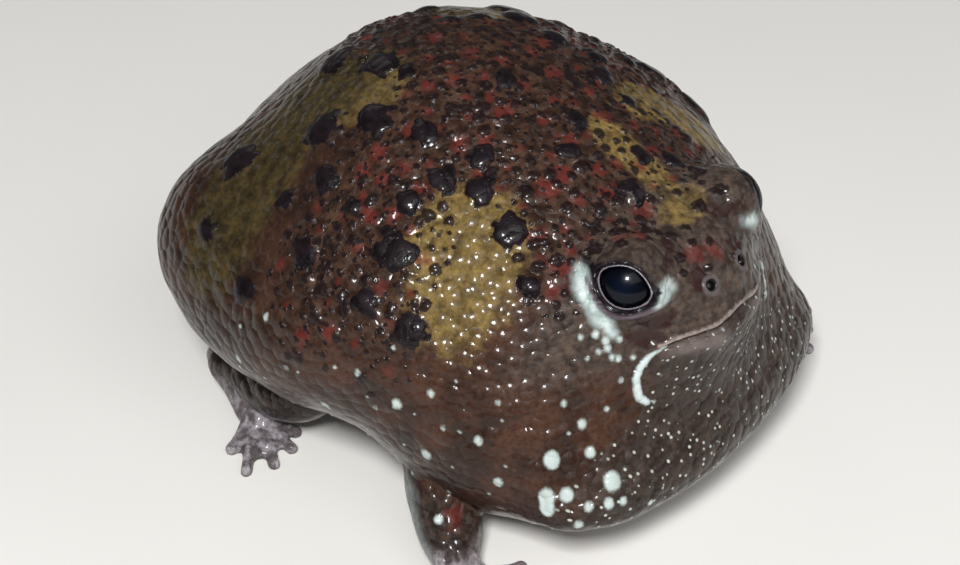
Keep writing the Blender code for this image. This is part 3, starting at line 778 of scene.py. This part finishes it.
def plan_weight(points, ellipses, edge=0.35):
    """Return how far each point lies within a group of plan ellipses, from 0 to 1."""
    best = np.zeros(len(points))
    for x, y, half_width, half_length in ellipses:
        reach = np.hypot((points[:, 0] - x) / half_width, (points[:, 1] - y) / half_length)
        best = np.maximum(best, 1 - smoothstep(1 - edge, 1 + edge, reach))
    return best


def crowded(point, cell, taken, spacing):
    """Tell whether a point taken before lies within the spacing of this one."""
    for step in product((-1, 0, 1), repeat=3):
        beside = tuple(place + shift for place, shift in zip(cell, step))
        for other in taken.get(beside, ()):
            if sum((here - there) ** 2 for here, there in zip(point, other)) < spacing ** 2:
                return True
    return False


def scatter(points, chance, weight, spacing, sizes, limit):
    """Pick skin points at least a spacing apart, mostly small, as many as a weight allows."""
    order = list(range(len(points)))
    chance.shuffle(order)
    small, large = sizes
    taken = {}
    found = []
    for at in order:
        if chance.random() > weight[at]:
            continue
        point = points[at]
        cell = tuple(int(math.floor(value / spacing)) for value in point)
        if crowded(point, cell, taken, spacing):
            continue
        taken.setdefault(cell, []).append(tuple(point))
        found.append((Vector(point), small + (large - small) * chance.random() ** 2,
                      random_way(chance), chance.uniform(*DOT_STRETCH)))
        if len(found) >= limit:
            break
    return found


def mark_distance(points, marks, wobble):
    """Return the distance outside the nearest of many oval marks, with a wavy outline."""
    best = np.full(len(points), FAR)
    for centre, diameter, way, stretch in marks:
        offset = points - np.array(centre)
        near = np.abs(offset).max(axis=1) < diameter * MARK_REACH + MARK_MARGIN
        local = offset[near]
        local = local - np.outer(local @ np.array(way), way) * (1 - 1 / stretch)
        gap = np.linalg.norm(local, axis=1) - diameter / 2 * (1 + wobble[near])
        best[near] = np.minimum(best[near], gap)
    return best


def noise_at(points, size, seed):
    """Return smooth noise from -1 to 1 at points, with features of a size."""
    shift = Vector((seed * 17.3, seed * 5.1, seed * 9.7))
    return np.array([noise.noise(Vector(point) / size + shift) for point in points])


def dome(gap, radius, rise):
    """Return a rounded swelling over marks whose distance outside is given."""
    inside = np.clip(-gap / radius, 0, 1)
    return rise * np.sqrt(inside * (2 - inside))


# The mouth's line, by the angle round the mouth's heart from its middle
def mouth_bend(angle):
    """Return how far towards the head the mouth's line lies from its plane."""
    turn = np.degrees(np.abs(angle))
    return (MOUTH_DIP + CHEEK_RISE * smoothstep(*CHEEK_ANGLES, turn)
            - CORNER_FALL * smoothstep(*CORNER_ANGLES, turn))


def mouth_place(points):
    """Return height over the mouth's line, towards the head, its angle and how far up."""
    offset = points - np.array(MOUTH_HEART)
    up = offset @ np.array(MOUTH_RISE)
    angle = np.arctan2(points[:, 0], up)
    return -offset @ np.array(MOUTH_FRONT) - mouth_bend(angle), angle, up


def bend_at_mouth(form, way):
    """Straighten the skin along the mouth's line, for a way of 1, or bend it back."""
    _, angle, up = mouth_place(coordinates(form))
    shift = mouth_bend(angle) * smoothstep(*BEND_UP, up) * way
    for vertex, length in zip(form.verts, shift):
        vertex.co += MOUTH_FRONT * length


# The skin
def bare_body():
    form = bmesh.new()
    bmesh.ops.create_cube(form, size=2.0)
    bmesh.ops.subdivide_edges(form, edges=form.edges[:], cuts=BODY_CUTS, use_grid_fill=True)
    rays = np.tan(coordinates(form) * GRID_ANGLE)
    rays /= np.linalg.norm(rays, axis=1, keepdims=True)
    rays = rays + FRONT * FRONT_PULL
    rays /= np.linalg.norm(rays, axis=1, keepdims=True)
    origins = np.repeat(BODY_CENTRE[None, :], len(rays), axis=0)
    for vertex, point in zip(form.verts, meet_skin(origins, rays)):
        vertex.co = point
    bend_at_mouth(form, 1)
    for lift in MOUTH_LOOPS:
        near = [face for face in form.faces if face.calc_center_median().y < MOUTH_FACES_ALONG]
        edges = {edge for face in near for edge in face.edges}
        verts = {vert for face in near for vert in face.verts}
        bmesh.ops.bisect_plane(form, geom=[*verts, *edges, *near], dist=MOUTH_SNAP,
                               plane_co=MOUTH_POINT + MOUTH_FRONT * lift, plane_no=MOUTH_FRONT)
    bend_at_mouth(form, -1)
    bmesh.ops.triangulate(form, faces=form.faces)
    return form


def soften_joins(form):
    """Round the creases where the limbs leave the body."""
    points = coordinates(form)
    near = np.full(len(points), FAR)
    for side in SIDES:
        for path, radii in ((ARM_PATH, ARM_RADII), (LEG_PATH, LEG_RADII)):
            route = limb_path(path, radii, side)
            near = np.minimum(near, np.abs(path_distance(points, *route)))
    near = np.maximum(near, np.abs(body_field(points)))
    form.verts.ensure_lookup_table()
    for reach, rounds in JOIN_ROUNDS:
        relax(form, [form.verts[at] for at in np.nonzero(near < reach)[0]], rounds)


def open_face(form):
    """Cut the eyes' hollows, the lids' openings and the nostrils, and set the lids' rims on."""
    balls = [ellipsoid(eye_place(side), (EYE_RADIUS + EYE_ROOM,) * 3, fineness=5) for side in SIDES]
    openings = [lid_opening(side) for side in SIDES]
    pits = []
    for way, place in zip(SIDES.values(), nostril_places()):
        out = (NOSTRIL_WAY * Vector((way, 1, 1))).normalized()
        pits.append(ellipsoid(place + out * NOSTRIL_OUT, NOSTRIL_RADII, facing(out)))
    form = boolean(form, [joined(balls), joined(openings), joined(pits)], "DIFFERENCE")
    rims = [tube(lid_line(side, EYE_RADIUS + LID_STAND), [LID_RIM] * LID_STEPS, closed=True,
                 resolution=4) for side in SIDES]
    return boolean(form, [joined(rims)], "UNION")


def mouth_reach(points):
    """Return height over the mouth's line, share of its half angle and how far in front."""
    lift, angle, up = mouth_place(points)
    return lift, np.abs(angle) / MOUTH_HALF_ANGLE, smoothstep(*FRONT_UP, up)


def ridge(gap, place, width, rise):
    """Return a soft ridge, or a groove, at one place of a distance."""
    return rise * np.exp(-((gap - place) / width) ** 2)


def relief(points, marks):
    """Return how high the skin stands over its bare form, in millimetres."""
    height = dome(marks["swell"], *WART_RISE) + dome(marks["dots"], *DOT_RISE)
    height += dome(marks["pale"], *PALE_RISE) + dome(marks["fold"], *FOLD_RISE)
    lift, share, front = mouth_reach(points)
    slit = (1 - smoothstep(*MOUTH_ENDS, share)) * front
    for form in (LIP_RIDGE, CHIN_RIDGE, MOUTH_GROOVE):
        height += slit * ridge(lift, *form)
    height += ridge(marks["nostril"], *NOSTRIL_RIM)
    for side in SIDES:
        oval, tall, _ = eye_oval(points, side)
        height += ridge(oval, *LID_ROLL) * smoothstep(*LID_ROLL_TALL, tall)
        height += ridge(oval, *LID_CREASE)
    for size, rise, seed in UNEVEN:
        height += rise * noise_at(points, size, seed)
    return height


# Fields that colour the skin
Ground = namedtuple("Ground", "points normals cross olive trunk eyes ragged torn chance")


def rough_noise(points, layers):
    return sum(strength * noise_at(points, size, seed) for size, strength, seed in layers)


def lay_ground(points, normals):
    """Gather what the marks are laid out by: regions, distances, noise and random draws."""
    up = smoothstep(*FACING_UP, normals[:, 2]) * smoothstep(*BACK_HEIGHT, points[:, 2])
    olive = plan_weight(points, OLIVE_PLAN) * up
    olive *= 1 - (HEAD_OLIVE_LOSS * smoothstep(*HEAD_OLIVE_ALONG, points[:, 1])
                  * smoothstep(*HEAD_OLIVE_ACROSS, points[:, 0]))
    ragged = rough_noise(points, RAGGED)
    return Ground(points, normals, plan_weight(points, CROSS_PLAN) * up, olive,
                  smoothstep(*TRUNK_OUT, np.abs(body_field(points))),
                  distance_to(points, eye_places()), ragged,
                  ragged + rough_noise(points, TORN), random.Random(MARK_SEED))


def region_marks(ground):
    """Return the broad regions of the back, head and belly."""
    along, height = ground.points[:, 1], ground.points[:, 2]
    facing_up = ground.normals[:, 2]
    # The rear and top fields also set painted shade, darker towards the rear and where the skin
    # faces down
    return {"cross": ground.cross * (1 - CROSS_LOSS * ground.olive), "olive": ground.olive,
            "rear": smoothstep(*REAR_ALONG, along),
            "brow": smoothstep(*BROW_ALONG, along) * smoothstep(*BROW_HEIGHT, height),
            "top": smoothstep(*TOP_FACING, facing_up),
            "under": smoothstep(*BELLY_FACING, facing_up)}


def placed(spots, chance):
    """Return marks at given plan places of the head."""
    return [(skin_above(*place), diameter, random_way(chance), HEAD_STRETCH)
            for place, diameter in spots]


def wart_marks(ground):
    """Return the large warts, the small dark dots and the red dots between them."""
    points, chance = ground.points, ground.chance
    large = large_warts()
    dark = mark_distance(points, large, FRAY["dark"] * ground.torn)
    swell = mark_distance(points, large, FRAY["swell"] * ground.ragged)
    busy = np.clip(ground.cross * 1.2 - ground.olive * 0.8, 0.0, 1)
    busy *= (dark > SEED_WART_ROOM) * (ground.eyes > SEED_EYE_ROOM) * ground.trunk
    seeds = scatter(points, chance, busy, *SEEDS) + placed(HEAD_WARTS, chance)
    dots = mark_distance(points, seeds, FRAY["dots"] * ground.ragged)
    warm = np.clip(ground.cross - ground.olive, 0, 1) * (dots > RED_SEED_ROOM)
    warm = warm * (dark > RED_WART_ROOM) * (ground.eyes > RED_EYE_ROOM) * ground.trunk
    reds = scatter(points, chance, warm, *REDS) + placed(SNOUT_REDS, chance)
    place, diameter, stretch = ARM_RED
    reds += [(mirrored(place, side), diameter, random_way(chance), stretch) for side in SIDES]
    red = mark_distance(points, reds, FRAY["red"] * ground.torn)
    return {"dark": dark, "swell": swell, "dots": dots, "red": red}


def pale_marks(ground):
    """Return the pale spots: placed ones, like ones opposite and scattered flecks."""
    points, chance = ground.points, ground.chance
    spots = []
    for y, z, diameter in PALE_SPOTS:
        spots.append((skin_beside(y, z, -1), diameter, UPRIGHT, PALE_STRETCH))
        if y > FAR_SPOTS_ALONG:
            shift = [chance.uniform(-most, most) for most in FAR_SPOT_SHIFT]
            spots.append((skin_beside(y + shift[0], z + shift[1], 1), diameter, UPRIGHT,
                          PALE_STRETCH))
    place, diameter, stretch = ARM_SPOT
    spots += [(mirrored(place, side), diameter, UPRIGHT, stretch) for side in SIDES]
    lowest, highest = FLECK_HEIGHT
    low = smoothstep(*FLECK_FACING, ground.normals[:, 2]) * (points[:, 2] > lowest)
    low = low * (points[:, 2] < highest) * (points[:, 1] < FLECK_ALONG)
    low = low * ground.trunk * (ground.eyes > FLECK_EYE_ROOM)
    spots += scatter(points, chance, low * FLECK_SHARE, *FLECKS)
    return {"pale": mark_distance(points, spots, FRAY["pale"] * ground.ragged)}


def face_marks(ground):
    """Return the marks round the eyes and nostrils, along the mouth and on the throat."""
    points = ground.points
    lift, share, front = mouth_reach(points)
    place, half_width = LIP_LINE
    lips = np.abs(lift - place) - half_width
    marks = {"patch": routes_distance(points, EYE_PATCHES, LEFT_PATCH),
             "smudge": routes_distance(points, SMUDGES),
             "fold": routes_distance(points, MOUTH_FOLD, LEFT_FOLD),
             "lips": np.where((share < LIP_END) & (front > 0.5), lips, FAR)}
    marks = {name: gap + FRAY[name] * ground.ragged for name, gap in marks.items()}
    middle = smoothstep(*CHIN_START, share) * smoothstep(*CHIN_END, share)
    marks["chin"] = ridge(lift, *CHIN_LINE) * middle * front
    marks["nostril"] = distance_to(points, nostril_places())
    marks["throat"] = smoothstep(*THROAT_LIFT, lift) * smoothstep(*THROAT_ALONG, points[:, 1])
    return marks


def limb_marks(ground):
    """Return how far each point is limb or foot, and the limbs' pale rear edge."""
    points, normals = ground.points, ground.normals
    limb = smoothstep(*LIMB_OUT, body_field(points))
    out, back = EDGE_WAY
    behind = out * np.sign(points[:, 0]) * normals[:, 0] + back * normals[:, 1]
    edge = smoothstep(*EDGE_FACING, behind) * smoothstep(*EDGE_ALONG, points[:, 1])
    return {"limb": limb, "foot": limb * smoothstep(*FOOT_HEIGHT, points[:, 2]),
            "pale_edge": limb * edge}


def lid_marks(ground):
    """Return the lids' black margin with its corners, and the lower lid's roll."""
    rims = [eye_oval(ground.points, side) for side in SIDES]
    margin = np.max([np.maximum(smoothstep(*LID_MARGIN, oval), eye_corners(tall, across))
                     for oval, tall, across in rims], axis=0)
    near = np.min([oval for oval, _, _ in rims], axis=0) < OFF_LIDS
    lower = [smoothstep(*LOWER_LID, oval) * smoothstep(*LOWER_LID_TALL, tall)
             for oval, tall, _ in rims]
    return {"lid": margin * near, "lower_lid": np.max(lower, axis=0)}


def markings(points, normals):
    """Return the named fields that colour the skin, and the swelling of its warts."""
    ground = lay_ground(points, normals)
    marks = {}
    for part in (region_marks, wart_marks, pale_marks, face_marks, limb_marks, lid_marks):
        marks.update(part(ground))
    return marks


def finish_mesh(name, form, material):
    """Make a piece of a bmesh: into the frame's metres, shaded smooth, riding the root."""
    bmesh.ops.translate(form, verts=form.verts, vec=SHIFT)
    bmesh.ops.scale(form, verts=form.verts, vec=(MM, MM, MM))
    piece = link(object_of(name, form))
    piece.data.shade_smooth()
    piece.data.materials.append(material)
    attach(piece, "root")
    return piece


def store_field(piece, name, values):
    layer = piece.data.attributes.new(name, "FLOAT", "POINT")
    layer.data.foreach_set("value", values.astype(np.float32))


def skin_form():
    """Return the whole skin's form before its relief."""
    form = bare_body()
    limbs = [joined([arm("left"), leg("right")]), joined([arm("right"), leg("left")])]
    form = boolean(form, limbs, "UNION")
    soften_joins(form)
    form = open_face(form)
    form.normal_update()
    return form


def make_skin():
    form = skin_form()
    points = coordinates(form)
    normals = np.array([vertex.normal for vertex in form.verts])
    marks = markings(points, normals)
    eyes = distance_to(points, eye_places()) - EYE_RADIUS
    height = relief(points, marks) * smoothstep(*EYE_CALM, eyes)
    height *= smoothstep(*FLOOR_CALM, points[:, 2])
    for vertex, point in zip(form.verts, points + normals * height[:, None]):
        vertex.co = point
    skin = finish_mesh("skin", form, wet_toad_skin())
    for name in SKIN_FIELDS:
        store_field(skin, name, marks[name])
    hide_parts("torso", "head", "throat",
                *[part + "_" + side for part in ("forearm", "hand", "shank", "foot")
                  for side in SIDES])


def make_eyes():
    material = wet_eyeball()
    for side in SIDES:
        form = ellipsoid(eye_place(side), (EYE_RADIUS - EYE_PLAY,) * 3, fineness=5)
        oval = eye_oval(coordinates(form), side)[0]
        eye = finish_mesh("eyeball_" + side, form, material)
        store_field(eye, "oval", oval)
        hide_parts("eye_" + side)


def make_spades():
    material = digging_horn()
    for side in SIDES:
        turn = Matrix.Rotation(SPADE_TURN * SIDES[side], 4, "Z")
        form = ellipsoid(mirrored(SPADE_CENTRE, side), SPADE_RADII, turn, 4)
        stand_flat(form)
        spade = finish_mesh("horn_spade_" + side, form, material)
        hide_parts("spade_" + side)


# Materials
def linear(hexadecimal):
    """Turn an sRGB hex colour to linear red, green, blue and alpha."""
    shades = [int(hexadecimal[at:at + 2], 16) / 255 for at in (1, 3, 5)]
    return (*[shade / 12.92 if shade <= 0.04045 else ((shade + 0.055) / 1.055) ** 2.4
              for shade in shades], 1.0)


# Kinds of node: type, the sockets that take its values in turn, what comes out, and settings
NODES = {
    "field": ("ShaderNodeAttribute", (), "Fac", {}),
    "place": ("ShaderNodeTexCoord", (), "Object", {}),
    "stretch": ("ShaderNodeMapping", ("Vector", "Scale"), "Vector", {}),
    "noise": ("ShaderNodeTexNoise", ("Vector", "Scale", "Detail", "Roughness"), "Fac", {}),
    "cells": ("ShaderNodeTexVoronoi", ("Vector", "Scale"), "Distance", {}),
    "red": ("ShaderNodeSeparateColor", ("Color",), 0, {}),
    "green": ("ShaderNodeSeparateColor", ("Color",), 1, {}),
    "ramp": ("ShaderNodeMapRange", ("Value", "From Min", "From Max", "To Min", "To Max"),
             "Result", {"interpolation_type": "SMOOTHSTEP"}),
    "plus": ("ShaderNodeMath", (0, 1), 0, {"operation": "ADD"}),
    "minus": ("ShaderNodeMath", (0, 1), 0, {"operation": "SUBTRACT"}),
    "times": ("ShaderNodeMath", (0, 1), 0, {"operation": "MULTIPLY"}),
    "greater": ("ShaderNodeMath", (0, 1), 0, {"operation": "MAXIMUM"}),
    "mix": ("ShaderNodeMix", (0, 6, 7), 2, {"data_type": "RGBA"}),
    "darken": ("ShaderNodeMix", (0, 6, 7), 2, {"data_type": "RGBA", "blend_type": "MULTIPLY"}),
    "bump": ("ShaderNodeBump", ("Height", "Strength", "Distance", "Normal"), "Normal", {}),
}


def add(tree, kind, *values, sockets=None, **settings):
    """Add a node, give its sockets values or link what feeds them, and return what comes out."""
    node_type, places, result, standing = NODES.get(kind, (kind, (), 0, {}))
    made = tree.nodes.new(node_type)
    for key, value in {**standing, **settings}.items():
        setattr(made, key, value)
    for key, value in [*zip(places, values), *(sockets or {}).items()]:
        if isinstance(value, bpy.types.NodeSocket):
            tree.links.new(value, made.inputs[key])
        else:
            made.inputs[key].default_value = value
    return made.outputs[result] if made.outputs else None


def new_material(name):
    """Return an empty material, what adds its nodes, and each point's place in the piece."""
    material = bpy.data.materials.new(name)
    material.use_nodes = True
    material.node_tree.nodes.clear()
    node = partial(add, material.node_tree)
    return material, node, node("place")


def finish_material(node, sockets):
    """Close a material with its one shader."""
    shader = node("ShaderNodeBsdfPrincipled", sockets=sockets)
    node("ShaderNodeOutputMaterial", sockets={"Surface": shader})


def per_mm(size):
    """Return the scale of a pattern whose features are a size in millimetres."""
    return 1 / (size * MM)


def toned(node, grain, dark, light, levels=DRIFTING):
    """Return a colour that goes from a dark to a light tone with a grain."""
    return node("mix", node("ramp", grain, *levels), linear(dark), linear(light))


def painted(node, colour, layers):
    """Lay colours one over another, each as far as its share says."""
    for share, over in layers:
        colour = node("mix", share, colour, over)
    return colour


def frayed(node, gap, edge, share=1.0):
    """Return a mark's distance with a fine grain worked into its outline."""
    return node("plus", gap, node("times", edge, share))


def skin_regions(node, fields, broad, mottle, wander):
    """Return the colour of the skin's regions, before its warts and spots."""
    olive = node("ramp", node("plus", fields["olive"], wander), 0.1, 0.85)
    # The olive's darker tone towards the rear is painted shade
    yellow = node("mix", fields["rear"], toned(node, mottle, "#4e3f22", "#786338", DAPPLED),
                  toned(node, mottle, "#2e2514", "#4e4022", DAPPLED))
    return painted(node, toned(node, broad, "#2b1a13", "#442b1f"), (
        (fields["cross"], toned(node, mottle, "#261710", "#412c21")),
        (fields["brow"], toned(node, mottle, "#2e2521", "#4d4038", DAPPLED)),
        (olive, yellow),
        (fields["throat"], toned(node, mottle, "#2b221e", "#3d322c")),
        (fields["limb"], toned(node, mottle, "#241a16", "#3b2e27", BLOTCHED)),
        (fields["foot"], toned(node, mottle, "#6b6163", "#a8a1a6", BLOTCHED)),
        (node("times", fields["pale_edge"], 0.55), linear("#7f8b8b")),
        (fields["under"], toned(node, broad, "#8f8a88", "#b9b4b0")),
    ))


def shaded(node, fields, colour, fine):
    """Darken a colour by the skin's grain, and with painted shade towards the rear and towards the
    belly.
    """
    # Painted shade: the colour falls to 0.66 at the rear and to 0.7 where the skin faces down
    shade = node("times", node("ramp", fine, 0.25, 0.75, 0.68, 1.28),
                 node("ramp", fields["rear"], 0.0, 1.0, 1.0, 0.66))
    shade = node("times", shade, node("ramp", fields["top"], 0.3, 1.0, 0.7, 1.0))
    return node("darken", 1.0, colour, shade)


def throat_points(node, fields, place):
    """Return the pale points of the throat, drawn out along the body."""
    drawn_out = node("stretch", place, THROAT_DRAWN_OUT)
    points = node("cells", drawn_out, per_mm(THROAT_POINTS))
    pick = node("red", points.node.outputs["Color"])
    point = node("times", node("ramp", points, 0.25, 0.13), node("ramp", pick, 0.1, 0.14))
    return node("times", point, node("ramp", fields["throat"], 0.1, 0.6, 0.0, 0.8))


def dark_dots(node, fields, place, edge):
    """Return the small dark dots, with the finer granules of the cross among them."""
    seeds = node("cells", place, per_mm(CROSS_GRANULES))
    chosen = node("green", seeds.node.outputs["Color"])
    wanted = node("ramp", node("minus", fields["cross"], chosen), 0.0, 0.1)
    seed = node("ramp", frayed(node, seeds, edge, 0.4), 0.34, 0.24)
    dots = node("ramp", frayed(node, fields["dots"], edge), 0.10, -0.10)
    dots = node("greater", dots, node("times", seed, wanted))
    return node("times", dots, 0.93)


def back_spots(node, fields, place, mottle, edge, dots, dark):
    """Return the spots and warts, in the order in which they cover one another."""
    red = node("ramp", frayed(node, fields["red"], edge), 0.45, -0.5, 0.0, 0.62)
    smudge = node("ramp", frayed(node, fields["smudge"], edge), 0.3, -0.3, 0.0, 0.85)
    pale = node("ramp", frayed(node, fields["pale"], edge, 0.4), 0.14, -0.24, 0.0, 0.88)
    return (
        (red, linear("#66241f")),
        (smudge, linear("#2b1614")),
        (throat_points(node, fields, place), linear("#c2c6ba")),
        (dots, linear("#180c0d")),
        (node("ramp", dark, 0.10, -0.14), toned(node, mottle, "#0a0406", "#180e14")),
        (pale, linear("#c0cdc9")),
    )


def face_colours(node, fields, mottle, edge, wander):
    """Return the colours round eyes, mouth and nostrils, in the order they are laid on."""
    white = node("plus", fields["patch"], node("times", wander, 1.2))
    fold = frayed(node, fields["fold"], edge, 0.4)
    return (
        (node("ramp", white, 0.55, -0.6, 0.0, 0.92),
         toned(node, mottle, "#a5b4b1", "#ccdad8", (0.4, 0.6))),
        (node("times", fields["chin"], 0.45), linear("#8c7f7c")),
        (node("ramp", frayed(node, fields["lips"], edge), 0.15, -0.2), linear("#968781")),
        (node("ramp", fold, 0.1, -0.16, 0.0, 0.94), linear("#c8d5d3")),
        (node("ramp", fields["nostril"], 1.05, 0.85, 0.0, 0.7), linear("#5f5759")),
        # Painted shade: the near-black middle of each nostril's opening
        (node("ramp", fields["nostril"], 0.66, 0.5), linear("#0b0708")),
        (fields["lower_lid"], linear("#63555f")),
        (fields["lid"], linear("#120c11")),
    )


def granular_film(node, fields, place, mottle, dots, dark):
    """Return the bump of the rounded granules, each of which catches one glint."""
    granules = node("cells", place, per_mm(GRANULES))
    swell = node("times", node("times", granules, granules), node("times", fields["top"], -1.0))
    swell = node("plus", swell, node("times", mottle, 0.1))
    swell = node("times", swell, node("ramp", dark, 0.10, -0.25, 1.0, 0.3))
    swell = node("plus", swell, node("times", dots, 0.15))
    return node("bump", swell, 1.0, GRANULE_HEIGHT * MM)


def wet_toad_skin():
    """Living amphibian skin under a film of water: soft, mottled, with small sharp glints."""
    material, node, place = new_material("wet_toad_skin")
    fields = {name: node("field", attribute_name=name) for name in SKIN_FIELDS}
    broad, mottle, fine = [node("noise", place, per_mm(size), 3.0, 0.6) for size in GRAINS]
    speck = node("noise", place, per_mm(SPECK), 2.0, 0.6)
    wander = node("times", node("minus", mottle, 0.5), 1.1)
    edge = node("times", node("minus", fine, 0.5), 0.6)
    dots = dark_dots(node, fields, place, edge)
    dark = frayed(node, fields["dark"], edge)
    colour = skin_regions(node, fields, broad, mottle, wander)
    colour = shaded(node, fields, colour, fine)
    colour = painted(node, colour, back_spots(node, fields, place, mottle, edge, dots, dark))
    colour = painted(node, colour, face_colours(node, fields, mottle, edge, wander))
    film = granular_film(node, fields, place, mottle, dots, dark)
    pores = node("bump", node("plus", fine, speck), 0.5, PORE_HEIGHT * MM, film)
    # Skin in water's film: little gloss of its own, a clear coat as slippery as water
    finish_material(node, {
        "Base Color": colour, "Roughness": node("ramp", mottle, 0.3, 0.7, 0.42, 0.58),
        "Normal": pores, "IOR": 1.36, "Specular IOR Level": 0.2, "Subsurface Weight": 0.05,
        "Subsurface Radius": (1.0, 0.4, 0.25), "Subsurface Scale": 0.6 * MM,
        "Coat Weight": 0.6, "Coat Roughness": 0.12, "Coat IOR": 1.33, "Coat Normal": film})
    return material


def wet_eyeball():
    """A living eye: a wide black pupil and a thin pale ring under clear wet cornea."""
    material, node, place = new_material("wet_eyeball")
    streak = node("noise", place, per_mm(0.12), 2.0, 0.6)
    wave = node("times", node("minus", streak, 0.5), 0.03)
    oval = node("plus", node("field", attribute_name="oval"), wave)
    colour = painted(node, toned(node, oval, "#040c1c", "#010206", (0.0, 0.8)), (
        (node("ramp", oval, 0.815, 0.845), toned(node, streak, "#8f8290", "#cfc6cd", (0.3, 0.7))),
        (node("ramp", oval, 0.90, 0.93), linear("#120c14")),
    ))
    finish_material(node, {
        "Base Color": colour, "Roughness": 0.3, "IOR": 1.34, "Specular IOR Level": 0.15,
        "Coat Weight": 0.5, "Coat Roughness": 0.02, "Coat IOR": 1.32})
    return material


def digging_horn():
    """Keratin, worn smooth by sand: dark and dense, with paler tones drifting through it."""
    material, node, place = new_material("digging_horn")
    layers = node("noise", place, per_mm(0.5), 3.0, 0.6)
    finish_material(node, {
        "Base Color": toned(node, layers, "#1d1511", "#3c2e25"),
        "Roughness": node("ramp", layers, 0.3, 0.7, 0.32, 0.5),
        "Normal": node("bump", layers, 0.3, 0.05 * MM), "IOR": 1.54})
    return material


def studio_floor_paint():
    """Matt pale paint: even, with the faintest drift of tone."""
    material, node, place = new_material("studio_floor_paint")
    drift = node("noise", place, per_mm(60.0), 3.0, 0.6)
    colour = node("mix", drift, linear("#dddbd6"), linear("#e4e2de"))
    finish_material(node, {"Base Color": colour, "Roughness": 0.85})
    return material


# Stage, camera and light
def make_floor():
    form = bmesh.new()
    bmesh.ops.create_grid(form, x_segments=1, y_segments=1, size=FLOOR_REACH)
    floor = link(object_of("floor", form))
    floor.data.materials.append(studio_floor_paint())


def camera_back():
    turn, tip = math.radians(CAMERA_AZIMUTH), math.radians(CAMERA_ELEVATION)
    return Vector((math.sin(turn) * math.cos(tip), -math.cos(turn) * math.cos(tip), math.sin(tip)))


def aimed(name, data, place, way):
    """Add a camera or a lamp that looks along a way."""
    thing = link(bpy.data.objects.new(name, data))
    thing.location = place
    thing.rotation_mode = "QUATERNION"
    thing.rotation_quaternion = way.to_track_quat("-Z", "Y")
    return thing


def make_camera():
    data = bpy.data.cameras.new("camera")
    data.sensor_width = SENSOR_MM
    data.lens = CAMERA_FOCUS_PIXELS * SENSOR_MM / FRAME_PIXELS
    data.clip_start = CAMERA_NEAR
    back = camera_back()
    place = (CAMERA_TARGET + SHIFT + back * CAMERA_DISTANCE) * MM
    bpy.context.scene.camera = aimed("camera", data, place, -back)


def make_lamp(name, place, power, size, colour):
    """Add a square soft lamp that looks at the toad's middle."""
    data = bpy.data.lights.new(name, "AREA")
    data.energy = power
    data.size = size
    data.color = colour
    aimed(name, data, place, AIM - place)


def light_studio():
    world = bpy.data.worlds.new("studio")
    world.use_nodes = True
    sky = world.node_tree.nodes["Background"]
    sky.inputs["Color"].default_value = linear(SKY_TONE)
    sky.inputs["Strength"].default_value = SKY_STRENGTH
    bpy.context.scene.world = world
    for lamp in LAMPS:
        make_lamp(*lamp)
    bpy.context.scene.view_settings.view_transform = "Standard"


make_skin()
make_eyes()
make_spades()
make_floor()
make_camera()
light_studio()
